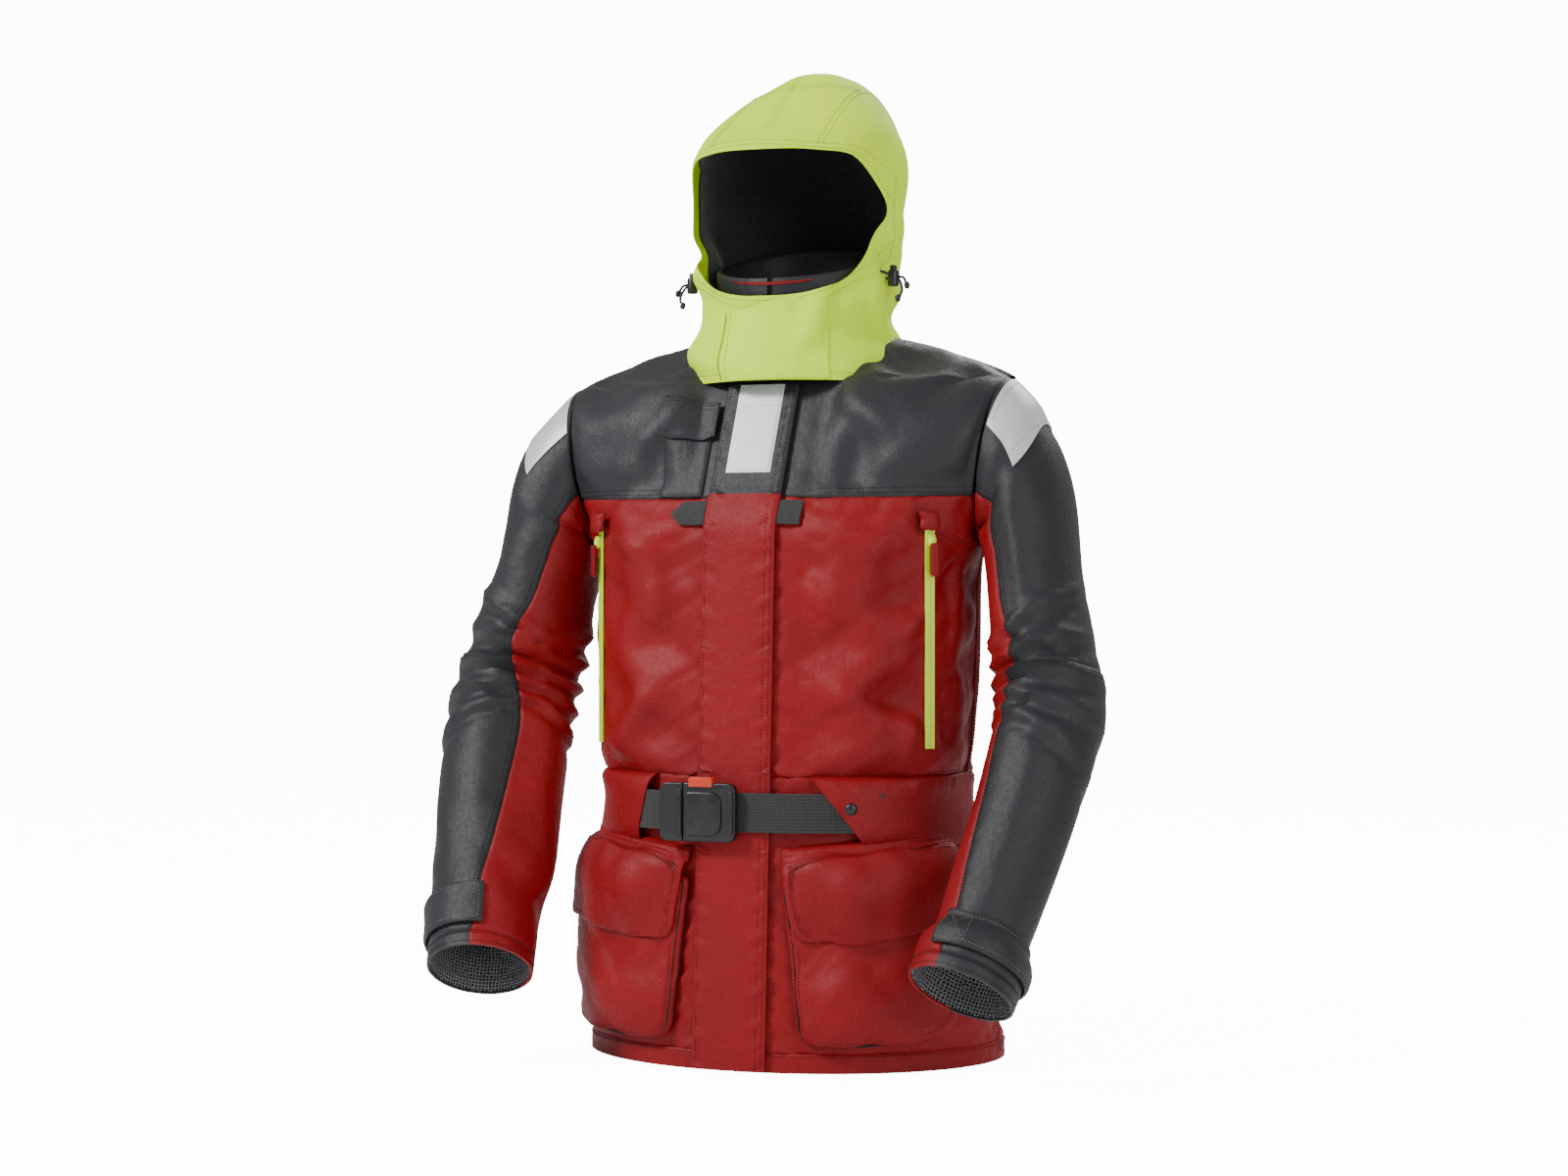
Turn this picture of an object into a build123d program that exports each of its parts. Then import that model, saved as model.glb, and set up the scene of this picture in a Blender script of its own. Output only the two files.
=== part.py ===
from build123d import *
import math
import os

# Foam-lined foul weather jacket with a raised hood, standing on its hem as if worn.
# Millimetres, +Z up, the wearer faces -Y and the wearer's left is +X.
# The origin is the centre of the hem plane. Left parts are modelled and mirrored for the right.

# ---- driving dimensions -------------------------------------------------------------------
HEM_HEIGHT = 20.0           # turned-up hem band
YOKE_HEIGHT = 590.0         # seam between the red body and the dark yoke
BELT_HEIGHT = 265.0         # middle of the waist belt
FRONT_AT_HEM = -160.0       # the centre front line is straight from the hem to the chest
FRONT_AT_CHEST = -130.0
CHEST_HEIGHT = 560.0
UPPER_FRONT_HEIGHT = 600.0  # and straight again from here to the neck
FRONT_AT_UPPER = -108.0
UPPER_FRONT_SLOPE = 0.452
SIDE_SEAM_Y = 18.0
SEAM_GAP = 0.8              # clearance left between neighbouring sewn panels

FABRIC = 2.0                # outer shell thickness
HEM_WALL = 4.0
SHOULDER_CUT = 780.0        # above the highest point of the shoulders
FOAM_OUT, FOAM_IN = -3.0, -8.0
FOAM_TOP = 700.0
FOAM_ABOVE_HEM = 10.0
FOAM_FROM_ZIP = 16.0
FOAM_FROM_SIDE_SEAM = 6.0
LINING_OUT, LINING_IN = -9.0, -10.5
LINING_TOP = 706.0
LINING_ABOVE_HEM = 2.0
LINING_FROM_ZIP = 14.0

ZIP_GAP_HALF = 9.0          # half of the front opening that the zip tapes bridge
FLAP_EDGE = -43.0           # free edge of the storm flap, on the wearer's right
FLAP_ROOT = 37.0            # sewn edge of the storm flap, on the wearer's left
FLAP_OUT, FLAP_IN = 7.0, 5.4
FLAP_OPEN_TOP, FLAP_OPEN_BOTTOM = 560.0, 306.0
FLAP_SKIRT_TOP = 224.0
FLAP_TOP, FLAP_BOTTOM = 706.0, 1.0
FLAP_GAP = 1.0              # between the lengths of the flap
REFLECTOR_X = (-28.0, 22.0)
REFLECTOR_Z = (612.0, 705.0)
REFLECTOR_OUT, REFLECTOR_IN = 8.1, 7.3

TAPE_X = (1.2, 8.2)
TAPE_OUT, TAPE_IN = 1.0, -0.5
TAPE_BOTTOM, TAPE_TOP = HEM_HEIGHT + 4, 708.0
SLIDER_HALF_WIDTH = 6.0
SLIDER_LENGTH = 14.0
SLIDER_FRONT_OUT, SLIDER_FRONT_IN = 4.6, 1.8
SLIDER_BACK_OUT, SLIDER_BACK_IN = -1.4, -3.6
SLIDER_BRIDGE_OUT, SLIDER_BRIDGE_IN = 2.4, -2.0
SLIDER_BRIDGE_HALF = 0.8
TOP_SLIDER_HEIGHT, BOTTOM_SLIDER_HEIGHT = 688.0, 28.0

WEBBING_WIDTH = 40.0
WEBBING_OUT, WEBBING_IN = 13.2, 11.4
WEBBING_END = 150.0         # where it disappears in the tunnels
WEBBING_AT_TONGUE = -55.0
TUNNEL_MOUTH = 104.0
TUNNEL_OUT, TUNNEL_IN = 16.2, 1.5
TUNNEL_ROOM_OUT, TUNNEL_ROOM_IN = 14.6, 9.8
TUNNEL_HALF_HEIGHT = 37.0
TUNNEL_ROOM_HALF_HEIGHT = 24.0
TUNNEL_ROOM_END = 155.0
BUCKLE_BACK, BUCKLE_FRONT = 15.0, 27.0
BUCKLE_HALF_HEIGHT = 30.0
HOUSING_LEFT_END, HOUSING_SPLIT = 8.0, -50.0
TONGUE_END = -76.0
TONGUE_REACH = 28.0
TONGUE_HALF_HEIGHT, TONGUE_HALF_THICKNESS = 19.0, 2.2
TONGUE_SLOTS = ((-71.0, -66.5), (-60.5, -56.0))
HOUSING_SLOT = (-2.5, 1.5)
HOUSING_ROOM_HALF = 3.0
BUCKLE_SLOT_HALF_HEIGHT = 21.0
BUCKLE_CORNER = 8.0
BUTTON_X = (-43.0, -17.0)
BUTTON_BOTTOM, BUTTON_TOP = BELT_HEIGHT + 26, BELT_HEIGHT + 33
BUTTON_HALF_THICKNESS = 4.0
BUTTON_CLEARANCE = 0.5
SNAP_PLACE = (128.0, -152.0, BELT_HEIGHT + 6)
SNAP_FACING = (0.38, -0.925, 0)
SNAP_RADIUS, SNAP_THICKNESS = 6.5, 3.0
SNAP_POST_RADIUS, SNAP_POST_LENGTH, SNAP_POST_SHIFT = 2.5, 3.6, -3.2

NECK_X, NECK_Y, NECK_CENTRE_Y = 88.0, 84.0, 30.0
COLLAR_FRONT_TOP, COLLAR_BACK_TOP = 772.0, 840.0
COLLAR_FOOT = 700.0
COLLAR_CLEARANCE = 2.0      # between the collar and the edge of the neck opening
COLLAR_WALL = 4.0
LOOP_HALF_WIDTH = 32.0
LOOP_Y = (96.0, 104.0)
LOOP_TAPE = 2.2
LOOP_POST = 4.0
LOOP_Z = (716.0, 730.0)

SLIT_HALF = 1.2             # half of the gap where the front edges meet
WIDE = 400.0                # past the jacket on any side
BIG = 2000.0                # a half space

# height, half width, front, back of the torso
TORSO = [
    (0, 228, None, 200),
    (100, 226, None, 192),
    (200, 214, None, 176),
    (BELT_HEIGHT, 198, None, 160),
    (340, 205, None, 158),
    (430, 209, None, 155),
    (520, 213, None, 150),
    (CHEST_HEIGHT, 222, None, 147),
    (UPPER_FRONT_HEIGHT, 240, None, 143),
    (640, 246, None, 135),
    (680, 246, None, 122),
    (705, 240, None, 112),
    (725, 214, -44, 100),
    (742, 178, -26, 88),
    (757, 132, -8, 72),
    (764, 100, 5, 60),
]

# height, half width, front, back of the hood
HOOD = [
    (712, 106, -72, 120),
    (750, 108, -72, 122),
    (800, 106, -74, 128),
    (850, 108, -82, 140),
    (900, 112, -92, 150),
    (950, 114, -100, 155),
    (968, 110, -80, 155),
    (986, 103, -54, 154),
    (1004, 92, -28, 152),
    (1021, 79, -2, 147),
    (1037, 61, 24, 137),
    (1048, 42, 46, 123),
    (1055, 24, 64, 106),
    (1058, 10, 76, 94),
]


def centre_front(z):
    """Y of the body's centre front line at a height."""
    if z <= CHEST_HEIGHT:
        return FRONT_AT_HEM + (FRONT_AT_CHEST - FRONT_AT_HEM) * z / CHEST_HEIGHT
    if z >= UPPER_FRONT_HEIGHT:
        return FRONT_AT_UPPER + (z - UPPER_FRONT_HEIGHT) * UPPER_FRONT_SLOPE
    share = (z - CHEST_HEIGHT) / (UPPER_FRONT_HEIGHT - CHEST_HEIGHT)
    return FRONT_AT_CHEST + (FRONT_AT_UPPER - FRONT_AT_CHEST) * share


def oval_loft(sections, offset, crown):
    """A solid through level ovals, grown outwards by offset and, above crown, upwards too."""
    faces = []
    for z, half_width, front, back in sections:
        if front is None:
            front = centre_front(z)
        half_depth = (back - front) / 2
        height = z + offset if z > crown else z
        oval = Pos(0, (front + back) / 2, height) * Ellipse(half_width + offset, half_depth + offset)
        faces.append(oval.face())
    return loft(faces, ruled=True)


_torsos = {}


def torso(offset):
    if offset not in _torsos:
        _torsos[offset] = oval_loft(TORSO, offset, 700)
    return _torsos[offset]


_hoods = {}


def hood(offset):
    if offset not in _hoods:
        _hoods[offset] = oval_loft(HOOD, offset, 960)
    return _hoods[offset]


def block(x, y, z):
    """A box from three (low, high) pairs."""
    return Pos((x[0] + x[1]) / 2, (y[0] + y[1]) / 2, (z[0] + z[1]) / 2) * Box(
        x[1] - x[0], y[1] - y[0], z[1] - z[0]
    )


def layer(outer, inner, region):
    """The part of the torso's wall between two offsets that lies in region."""
    return (torso(outer) & region) - torso(inner)


def mirrored(shape):
    return shape.mirror(Plane.YZ)


def solid_parts(shape):
    return shape.solids() if hasattr(shape, "solids") else [shape]


def write(name, *shapes):
    solids = [s for shape in shapes for s in solid_parts(shape)]
    export_step(solids[0] if len(solids) == 1 else Compound(children=solids), f"parts/{name}.step")


def write_pair(name, shape):
    write(f"{name}_left", shape)
    write(f"{name}_right", mirrored(shape))


# ---- torso --------------------------------------------------------------------------------
ARMHOLE_TOP = (244.0, 716.0)
ARMHOLE_BOTTOM = (217.0, 546.0)
ARMHOLE_INSET = 1.5
ARMPIT_DROP = 4.0


def armhole_plane(side=1, inset=0.0):
    """The plane of the armhole, its normal pointing out along the arm."""
    dx = ARMHOLE_TOP[0] - ARMHOLE_BOTTOM[0]
    dz = ARMHOLE_TOP[1] - ARMHOLE_BOTTOM[1]
    length = math.hypot(dx, dz)
    normal = Vector(side * dz / length, 0, -dx / length)
    middle = Vector(
        side * (ARMHOLE_TOP[0] + ARMHOLE_BOTTOM[0]) / 2, 0, (ARMHOLE_TOP[1] + ARMHOLE_BOTTOM[1]) / 2
    )
    return Plane(middle + normal * inset, x_dir=(0, 1, 0), z_dir=normal)


def beyond(plane):
    """The half space on the side of plane that its normal points to."""
    return plane * Pos(0, 0, BIG / 2) * Box(BIG, BIG, BIG)


def inside_armholes():
    """Cutters that leave the torso between the two armhole planes above the armpits."""
    armpit = block((-BIG, BIG), (-BIG, BIG), (ARMHOLE_BOTTOM[1] - ARMPIT_DROP, BIG))
    return [beyond(armhole_plane(side, -ARMHOLE_INSET)) & armpit for side in (1, -1)]


def neck_cutter():
    return Pos(0, NECK_CENTRE_Y, COLLAR_FOOT) * extrude(Ellipse(NECK_X, NECK_Y), BIG)


def trimmed(shape):
    """Takes the neck opening and the armholes out of a torso piece."""
    shape = shape - neck_cutter()
    for cutter in inside_armholes():
        shape = shape - cutter
    return shape


def body_panel(outer, inner, x, y, z):
    return trimmed(layer(outer, inner, block(x, y, z)))


def make_body():
    red = (HEM_HEIGHT + SEAM_GAP, YOKE_HEIGHT - SEAM_GAP / 2)
    dark = (YOKE_HEIGHT + SEAM_GAP / 2, SHOULDER_CUT)
    front = (-WIDE, SIDE_SEAM_Y - SEAM_GAP / 2)
    back = (SIDE_SEAM_Y + SEAM_GAP / 2, WIDE)
    half = (ZIP_GAP_HALF, WIDE)
    across = (-WIDE, WIDE)
    write_pair("front_panel", body_panel(0, -FABRIC, half, front, red))
    write_pair("yoke_front", body_panel(0, -FABRIC, half, front, dark))
    write("back_panel", body_panel(0, -FABRIC, across, back, red))
    write("yoke_back", body_panel(0, -FABRIC, across, back, dark))
    hem = layer(0, -HEM_WALL, block(across, across, (0, HEM_HEIGHT)))
    write("hem_band", hem - block((-SLIT_HALF, SLIT_HALF), (-WIDE, 0), (-1, HEM_HEIGHT + 1)))


def make_inner_layers():
    across = (-WIDE, WIDE)
    foam_z = (HEM_HEIGHT + FOAM_ABOVE_HEM, FOAM_TOP)
    front_y = (-WIDE, SIDE_SEAM_Y - FOAM_FROM_SIDE_SEAM)
    back_y = (SIDE_SEAM_Y + FOAM_FROM_SIDE_SEAM, WIDE)
    foam_front = body_panel(FOAM_OUT, FOAM_IN, (FOAM_FROM_ZIP, WIDE), front_y, foam_z)
    foam_back = body_panel(FOAM_OUT, FOAM_IN, across, back_y, foam_z)
    write("flotation_foam", foam_front, mirrored(foam_front), foam_back)
    lining_z = (HEM_HEIGHT + LINING_ABOVE_HEM, LINING_TOP)
    lining = body_panel(LINING_OUT, LINING_IN, across, across, lining_z)
    slit = block((-LINING_FROM_ZIP, LINING_FROM_ZIP), (-WIDE, 0), (-1, SHOULDER_CUT))
    write("mesh_lining", lining - slit)


def neck_tube(clearance, foot):
    """A prism inside the neck opening, from a height upwards."""
    return Pos(0, NECK_CENTRE_Y, foot) * extrude(Ellipse(NECK_X - clearance, NECK_Y - clearance), WIDE)


def make_collar():
    rim = Plane(
        (0, NECK_CENTRE_Y, (COLLAR_FRONT_TOP + COLLAR_BACK_TOP) / 2),
        x_dir=(1, 0, 0),
        z_dir=(0, -(COLLAR_BACK_TOP - COLLAR_FRONT_TOP), 2 * NECK_Y),
    )
    outer = neck_tube(COLLAR_CLEARANCE, COLLAR_FOOT)
    inner = neck_tube(COLLAR_CLEARANCE + COLLAR_WALL, COLLAR_FOOT - 10)
    collar = outer - inner - beyond(rim)
    write("collar", collar - block((-SLIT_HALF, SLIT_HALF), (-WIDE, 0), (COLLAR_FOOT - 100, BIG)))


def make_hanger_loop():
    loop = block((-LOOP_HALF_WIDTH, LOOP_HALF_WIDTH), (LOOP_Y[0], LOOP_Y[0] + LOOP_TAPE), LOOP_Z)
    for side in (1, -1):
        ends = sorted((side * LOOP_HALF_WIDTH, side * (LOOP_HALF_WIDTH - LOOP_POST)))
        loop += block(ends, LOOP_Y, LOOP_Z)
    write("hanger_loop", loop)


def profile_plate(x, z_points, inner, outer):
    """A plate that follows the centre front line between heights, inner to outer in front of it."""
    line_out = [(centre_front(z) - outer, z) for z in z_points]
    line_in = [(centre_front(z) - inner, z) for z in reversed(z_points)]
    face = make_face(Polyline(*[(0, y, z) for y, z in line_out + line_in], close=True))
    return Pos(x[0], 0, 0) * extrude(face, x[1] - x[0], dir=(1, 0, 0))


def zip_slider(height):
    z = (height, height + SLIDER_LENGTH)
    body = (-SLIDER_HALF_WIDTH, SLIDER_HALF_WIDTH)
    front = profile_plate(body, z, SLIDER_FRONT_IN, SLIDER_FRONT_OUT)
    back = profile_plate(body, z, SLIDER_BACK_IN, SLIDER_BACK_OUT)
    bridge_x = (-SLIDER_BRIDGE_HALF, SLIDER_BRIDGE_HALF)
    bridge = profile_plate(bridge_x, z, SLIDER_BRIDGE_IN, SLIDER_BRIDGE_OUT)
    return front + bridge + back


def flap_length(*heights):
    return profile_plate((FLAP_EDGE, FLAP_ROOT), heights, FLAP_IN, FLAP_OUT)


def make_front_closure():
    tape_heights = (TAPE_BOTTOM, CHEST_HEIGHT, UPPER_FRONT_HEIGHT, TAPE_TOP)
    tape = profile_plate(TAPE_X, tape_heights, TAPE_IN, TAPE_OUT)
    write("main_zip_tapes", tape, mirrored(tape))
    write("main_zip_top_slider", zip_slider(TOP_SLIDER_HEIGHT))
    write("main_zip_bottom_slider", zip_slider(BOTTOM_SLIDER_HEIGHT))
    on_yoke = flap_length(FLAP_OPEN_TOP + FLAP_GAP, UPPER_FRONT_HEIGHT, FLAP_TOP)
    behind_belt = flap_length(FLAP_SKIRT_TOP + FLAP_GAP, FLAP_OPEN_BOTTOM - FLAP_GAP)
    write("storm_flap_held", on_yoke, behind_belt)
    write("storm_flap_chest", flap_length(FLAP_OPEN_BOTTOM, FLAP_OPEN_TOP - FLAP_GAP))
    write("storm_flap_skirt", flap_length(FLAP_BOTTOM, FLAP_SKIRT_TOP))
    write("storm_flap_reflector", profile_plate(REFLECTOR_X, REFLECTOR_Z, REFLECTOR_IN, REFLECTOR_OUT))


# ---- belt ---------------------------------------------------------------------------------
def belt_band(outer, inner, x, half_height):
    z = (BELT_HEIGHT - half_height, BELT_HEIGHT + half_height)
    return layer(outer, inner, block(x, (-WIDE, SIDE_SEAM_Y), z))


def make_belt():
    half = WEBBING_WIDTH / 2
    left_webbing = belt_band(WEBBING_OUT, WEBBING_IN, (0, WEBBING_END), half)
    right_webbing = belt_band(WEBBING_OUT, WEBBING_IN, (-WEBBING_END, WEBBING_AT_TONGUE), half)
    write("belt_webbing", left_webbing, right_webbing)
    tunnel = belt_band(TUNNEL_OUT, TUNNEL_IN, (TUNNEL_MOUTH, WIDE), TUNNEL_HALF_HEIGHT)
    room_x = (TUNNEL_MOUTH - 10, TUNNEL_ROOM_END)
    room = belt_band(TUNNEL_ROOM_OUT, TUNNEL_ROOM_IN, room_x, TUNNEL_ROOM_HALF_HEIGHT)
    write_pair("belt_tunnel", tunnel - room)
    facing = Plane(SNAP_PLACE, x_dir=(0, 0, 1), z_dir=SNAP_FACING)
    cap = facing * Cylinder(SNAP_RADIUS, SNAP_THICKNESS)
    post = facing * Pos(0, 0, SNAP_POST_SHIFT) * Cylinder(SNAP_POST_RADIUS, SNAP_POST_LENGTH)
    write("tunnel_snap", cap + post - torso(TUNNEL_OUT + 0.2))


def make_buckle():
    front_y = centre_front(BELT_HEIGHT)
    y_range = (front_y - BUCKLE_FRONT, front_y - BUCKLE_BACK)
    y_through = (y_range[0] - 1, y_range[1] + 1)
    y_mid = (y_range[0] + y_range[1]) / 2
    z_range = (BELT_HEIGHT - BUCKLE_HALF_HEIGHT, BELT_HEIGHT + BUCKLE_HALF_HEIGHT)
    z_slot = (BELT_HEIGHT - BUCKLE_SLOT_HALF_HEIGHT, BELT_HEIGHT + BUCKLE_SLOT_HALF_HEIGHT)

    housing = block((HOUSING_SPLIT, HOUSING_LEFT_END), y_range, z_range)
    housing = fillet(housing.edges().filter_by(Axis.Y).group_by(Axis.X)[-1], BUCKLE_CORNER)
    room_x = (HOUSING_SPLIT - 1, HOUSING_SPLIT + TONGUE_REACH + 1)
    housing -= block(room_x, (y_mid - HOUSING_ROOM_HALF, y_mid + HOUSING_ROOM_HALF), z_slot)
    housing -= block(HOUSING_SLOT, y_through, z_slot)
    well_x = (BUTTON_X[0] - BUTTON_CLEARANCE, BUTTON_X[1] + BUTTON_CLEARANCE)
    well_half = BUTTON_HALF_THICKNESS + BUTTON_CLEARANCE
    well_z = (z_slot[1] + BUTTON_CLEARANCE, z_range[1] + 10)
    housing -= block(well_x, (y_mid - well_half, y_mid + well_half), well_z)
    write("buckle_housing", housing)

    button_y = (y_mid - BUTTON_HALF_THICKNESS, y_mid + BUTTON_HALF_THICKNESS)
    button = block(BUTTON_X, button_y, (BUTTON_BOTTOM, BUTTON_TOP))
    write("buckle_button", fillet(button.edges().filter_by(Axis.Y).group_by(Axis.Z)[-1], 2))

    frame = block((TONGUE_END, HOUSING_SPLIT - SEAM_GAP), y_range, z_range)
    frame = fillet(frame.edges().filter_by(Axis.Y).group_by(Axis.X)[0], BUCKLE_CORNER)
    for slot_x in TONGUE_SLOTS:
        frame -= block(slot_x, y_through, z_slot)
    prong_y = (y_mid - TONGUE_HALF_THICKNESS, y_mid + TONGUE_HALF_THICKNESS)
    prong_z = (BELT_HEIGHT - TONGUE_HALF_HEIGHT, BELT_HEIGHT + TONGUE_HALF_HEIGHT)
    write("buckle_tongue", frame + block((HOUSING_SPLIT - 3, HOUSING_SPLIT + TONGUE_REACH), prong_y, prong_z))


# ---- pockets ------------------------------------------------------------------------------
POCKET_X = (60.0, 196.0)
POCKET_Z = (34.0, 206.0)
POCKET_OUT, POCKET_IN = 22.0, 1.5
POCKET_WALL = 2.0
POCKET_CORNER = 18.0
POCKET_SLANT = 7.0
CARGO_FLAP_Z = (140.0, 224.0)
CARGO_FLAP_OUT, CARGO_FLAP_IN = 26.0, 23.5
CARGO_FLAP_OVERHANG = 3.0
CARGO_FLAP_CORNER = 12.0
OPEN_TOP = 40.0             # how far the room of the pocket runs on past its mouth
CHEST_POCKET_X, CHEST_POCKET_Z = (-106.0, -54.0), (YOKE_HEIGHT + 2, 654.0)
CHEST_POCKET_OUT, CHEST_POCKET_IN = 5.0, 1.5
CHEST_FLAP_X, CHEST_FLAP_Z = (-111.0, -49.0), (648.0, 688.0)
CHEST_FLAP_OUT, CHEST_FLAP_IN = 8.4, 6.2


def slanted(x, z, radius):
    """A rounded prism along -Y for a pocket outline, higher towards the side seam."""
    outline = Plane.XZ * RectangleRounded(x[1] - x[0], z[1] - z[0], radius)
    centre = Pos((x[0] + x[1]) / 2, 0, (z[0] + z[1]) / 2)
    return centre * Rot(0, -POCKET_SLANT, 0) * extrude(outline, BIG / 10)


def make_cargo_pockets():
    bag = (torso(POCKET_OUT) & slanted(POCKET_X, POCKET_Z, POCKET_CORNER)) - torso(POCKET_IN)
    room_x = (POCKET_X[0] + POCKET_WALL, POCKET_X[1] - POCKET_WALL)
    room_z = (POCKET_Z[0] + POCKET_WALL, POCKET_Z[1] + OPEN_TOP)
    room = torso(POCKET_OUT - POCKET_WALL) & slanted(room_x, room_z, POCKET_CORNER - POCKET_WALL)
    write_pair("cargo_pocket", bag - (room - torso(POCKET_IN + POCKET_WALL)))
    flap_x = (POCKET_X[0] - CARGO_FLAP_OVERHANG, POCKET_X[1] + CARGO_FLAP_OVERHANG)
    flap = torso(CARGO_FLAP_OUT) & slanted(flap_x, CARGO_FLAP_Z, CARGO_FLAP_CORNER)
    write_pair("cargo_flap", flap - torso(CARGO_FLAP_IN))


def make_chest_pocket():
    front = (-WIDE, 0)
    pocket_zone = block(CHEST_POCKET_X, front, CHEST_POCKET_Z)
    write("chest_pocket", layer(CHEST_POCKET_OUT, CHEST_POCKET_IN, pocket_zone))
    flap_zone = block(CHEST_FLAP_X, front, CHEST_FLAP_Z)
    write("chest_pocket_flap", layer(CHEST_FLAP_OUT, CHEST_FLAP_IN, flap_zone))


# ---- chest zips ---------------------------------------------------------------------------
ZIP_X, ZIP_Z = 183.0, (330.0, 560.0)
ZIP_SURFACE_Y = -74.0
ZIP_NORMAL = (0.80, -0.60, 0)
ZIP_TRACK_WIDTH, ZIP_TRACK_THICKNESS, ZIP_TRACK_LIFT = 12.0, 2.0, 4.0
ZIP_SLIDER_FROM_TOP = 16.0
ZIP_SLIDER_SIZE, ZIP_SLIDER_LIFT = (9.0, 13.0, 3.6), 7.4
ZIP_BRIDGE_SIZE, ZIP_BRIDGE_LIFT = (3.0, 7.0, 2.4), 10.4
ZIP_PULL_SIZE, ZIP_PULL_LIFT = (8.0, 34.0, 2.2), 13.2
ZIP_PULL_DROP = 20.0


def zip_plane(z):
    """Plane on the chest zip at a height, its normal pointing out of the jacket."""
    return Plane((ZIP_X, ZIP_SURFACE_Y, z), x_dir=(-ZIP_NORMAL[1], ZIP_NORMAL[0], 0), z_dir=ZIP_NORMAL)


def make_chest_zips():
    middle = zip_plane((ZIP_Z[0] + ZIP_Z[1]) / 2)
    track = middle * Pos(0, 0, ZIP_TRACK_LIFT) * Box(ZIP_TRACK_WIDTH, ZIP_Z[1] - ZIP_Z[0], ZIP_TRACK_THICKNESS)
    write("chest_zip_tracks", track, mirrored(track))
    top = zip_plane(ZIP_Z[1] - ZIP_SLIDER_FROM_TOP)
    slider = top * Pos(0, 0, ZIP_SLIDER_LIFT) * Box(*ZIP_SLIDER_SIZE)
    bridge = top * Pos(0, -1, ZIP_BRIDGE_LIFT) * Box(*ZIP_BRIDGE_SIZE)
    write_pair("chest_zip_slider", slider + bridge)
    pull = top * Pos(0, -ZIP_PULL_DROP, ZIP_PULL_LIFT) * Box(*ZIP_PULL_SIZE)
    write_pair("chest_zip_pull", fillet(pull.edges().filter_by(Axis((0, 0, 0), ZIP_NORMAL)), 2.5))


# ---- tabs and reflectors ------------------------------------------------------------------
TAB_OUT, TAB_IN = 4.0, 1.5
WEBBING_TAB_Z = (560.0, 584.0)
WEBBING_TABS_X = ((30.0, 62.0), (-74.0, -44.0))
PATCH_OUT, PATCH_IN = 4.0, 0.8
PATCH_X, PATCH_Y, PATCH_Z = (204.0, 236.0), (-42.0, 58.0), (690.0, 760.0)
PATCH_FROM_ARMHOLE = 3.0


def make_webbing_tabs():
    tabs = [layer(TAB_OUT, TAB_IN, block(x, (-WIDE, 0), WEBBING_TAB_Z)) for x in WEBBING_TABS_X]
    write("chest_webbing_tabs", *tabs)


def make_shoulder_reflectors():
    patch = layer(PATCH_OUT, PATCH_IN, block(PATCH_X, PATCH_Y, PATCH_Z))
    patch = patch - beyond(armhole_plane(1, -PATCH_FROM_ARMHOLE))
    write("shoulder_reflectors", patch, mirrored(patch))


# ---- sleeves ------------------------------------------------------------------------------
# centre, direction towards the cuff, half width across, half depth front to back
SHOULDER_SECTIONS = [
    ((230.5, 4, 631), (170, 0, -27), 85, 80),
    ((257, 2, 601), (109, 0, -78), 65, 79),
    ((272, -10, 535), (26, -20, -100), 50, 75),
    ((290, -30, 446), (22, -22, -100), 60, 72),
    ((307, -49, 368), (6, -33, -94), 64, 70),
]
FOREARM_SECTIONS = [
    ((307, -50, 366), (6, -33, -94), 64, 70),
    ((299, -93, 288), (-14, -52, -86), 63, 68),
    ((281, -154, 186), (-17, -54, -84), 59, 63),
    ((264, -208, 98), (-18, -54, -83), 55, 57),
]
SLEEVE_WALL = 2.5
ELBOW_PIVOT = (307.0, 24.0, 344.0)
ELBOW_GAP_ANGLE = 34.0      # wedge left open at the crook so that the elbow can bend
FOREARM_TOP_DIRECTION = (-33.0, -94.0)
RED_SIDE_FACING = (-0.86, -0.50, 0)
RED_SIDE_DISTANCE = 22.0
CUFF_LENGTH = 14.0
CUFF_TAB_ABOVE_CUFF = 8.0
CUFF_TAB_WIDTH = 46.0
CUFF_TAB_INNER = (65.0, 67.0)
CUFF_TAB_THICKNESS = 2.5
CUFF_TAB_START, CUFF_TAB_SPAN = 130.0, 170.0
CUFF_TAB_STEPS = 6


def arm_plane(centre, direction):
    along = Vector(*direction).normalized()
    across = Vector(0, 1, 0).cross(along).normalized()
    return Plane(centre, x_dir=across, z_dir=along)


def sleeve_loft(sections, offset):
    faces = [
        (arm_plane(centre, along) * Ellipse(half_width + offset, half_depth + offset)).face()
        for centre, along, half_width, half_depth in sections
    ]
    return loft(faces)


def red_side(section, shift=0.0):
    """Half space holding the inner front panel of a sleeve, next to the body."""
    centre, direction = section[:2]
    inward = Vector(*RED_SIDE_FACING)
    origin = Vector(*centre) + inward * (RED_SIDE_DISTANCE - shift)
    return beyond(Plane(origin, x_dir=arm_plane(centre, direction).z_dir, z_dir=inward))


def write_sleeve(name, tube, section):
    """Splits a tube into its red inner and dark outer panel."""
    write_pair(f"{name}_inner", tube & red_side(section))
    write_pair(f"{name}_outer", tube - red_side(section, 1.0))


def elbow_cut():
    forward, down = FOREARM_TOP_DIRECTION
    tilt = math.atan2(-down, -forward) + math.radians(ELBOW_GAP_ANGLE)
    return beyond(Plane(ELBOW_PIVOT, x_dir=(1, 0, 0), z_dir=(0, math.cos(tilt), math.sin(tilt))))


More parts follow.
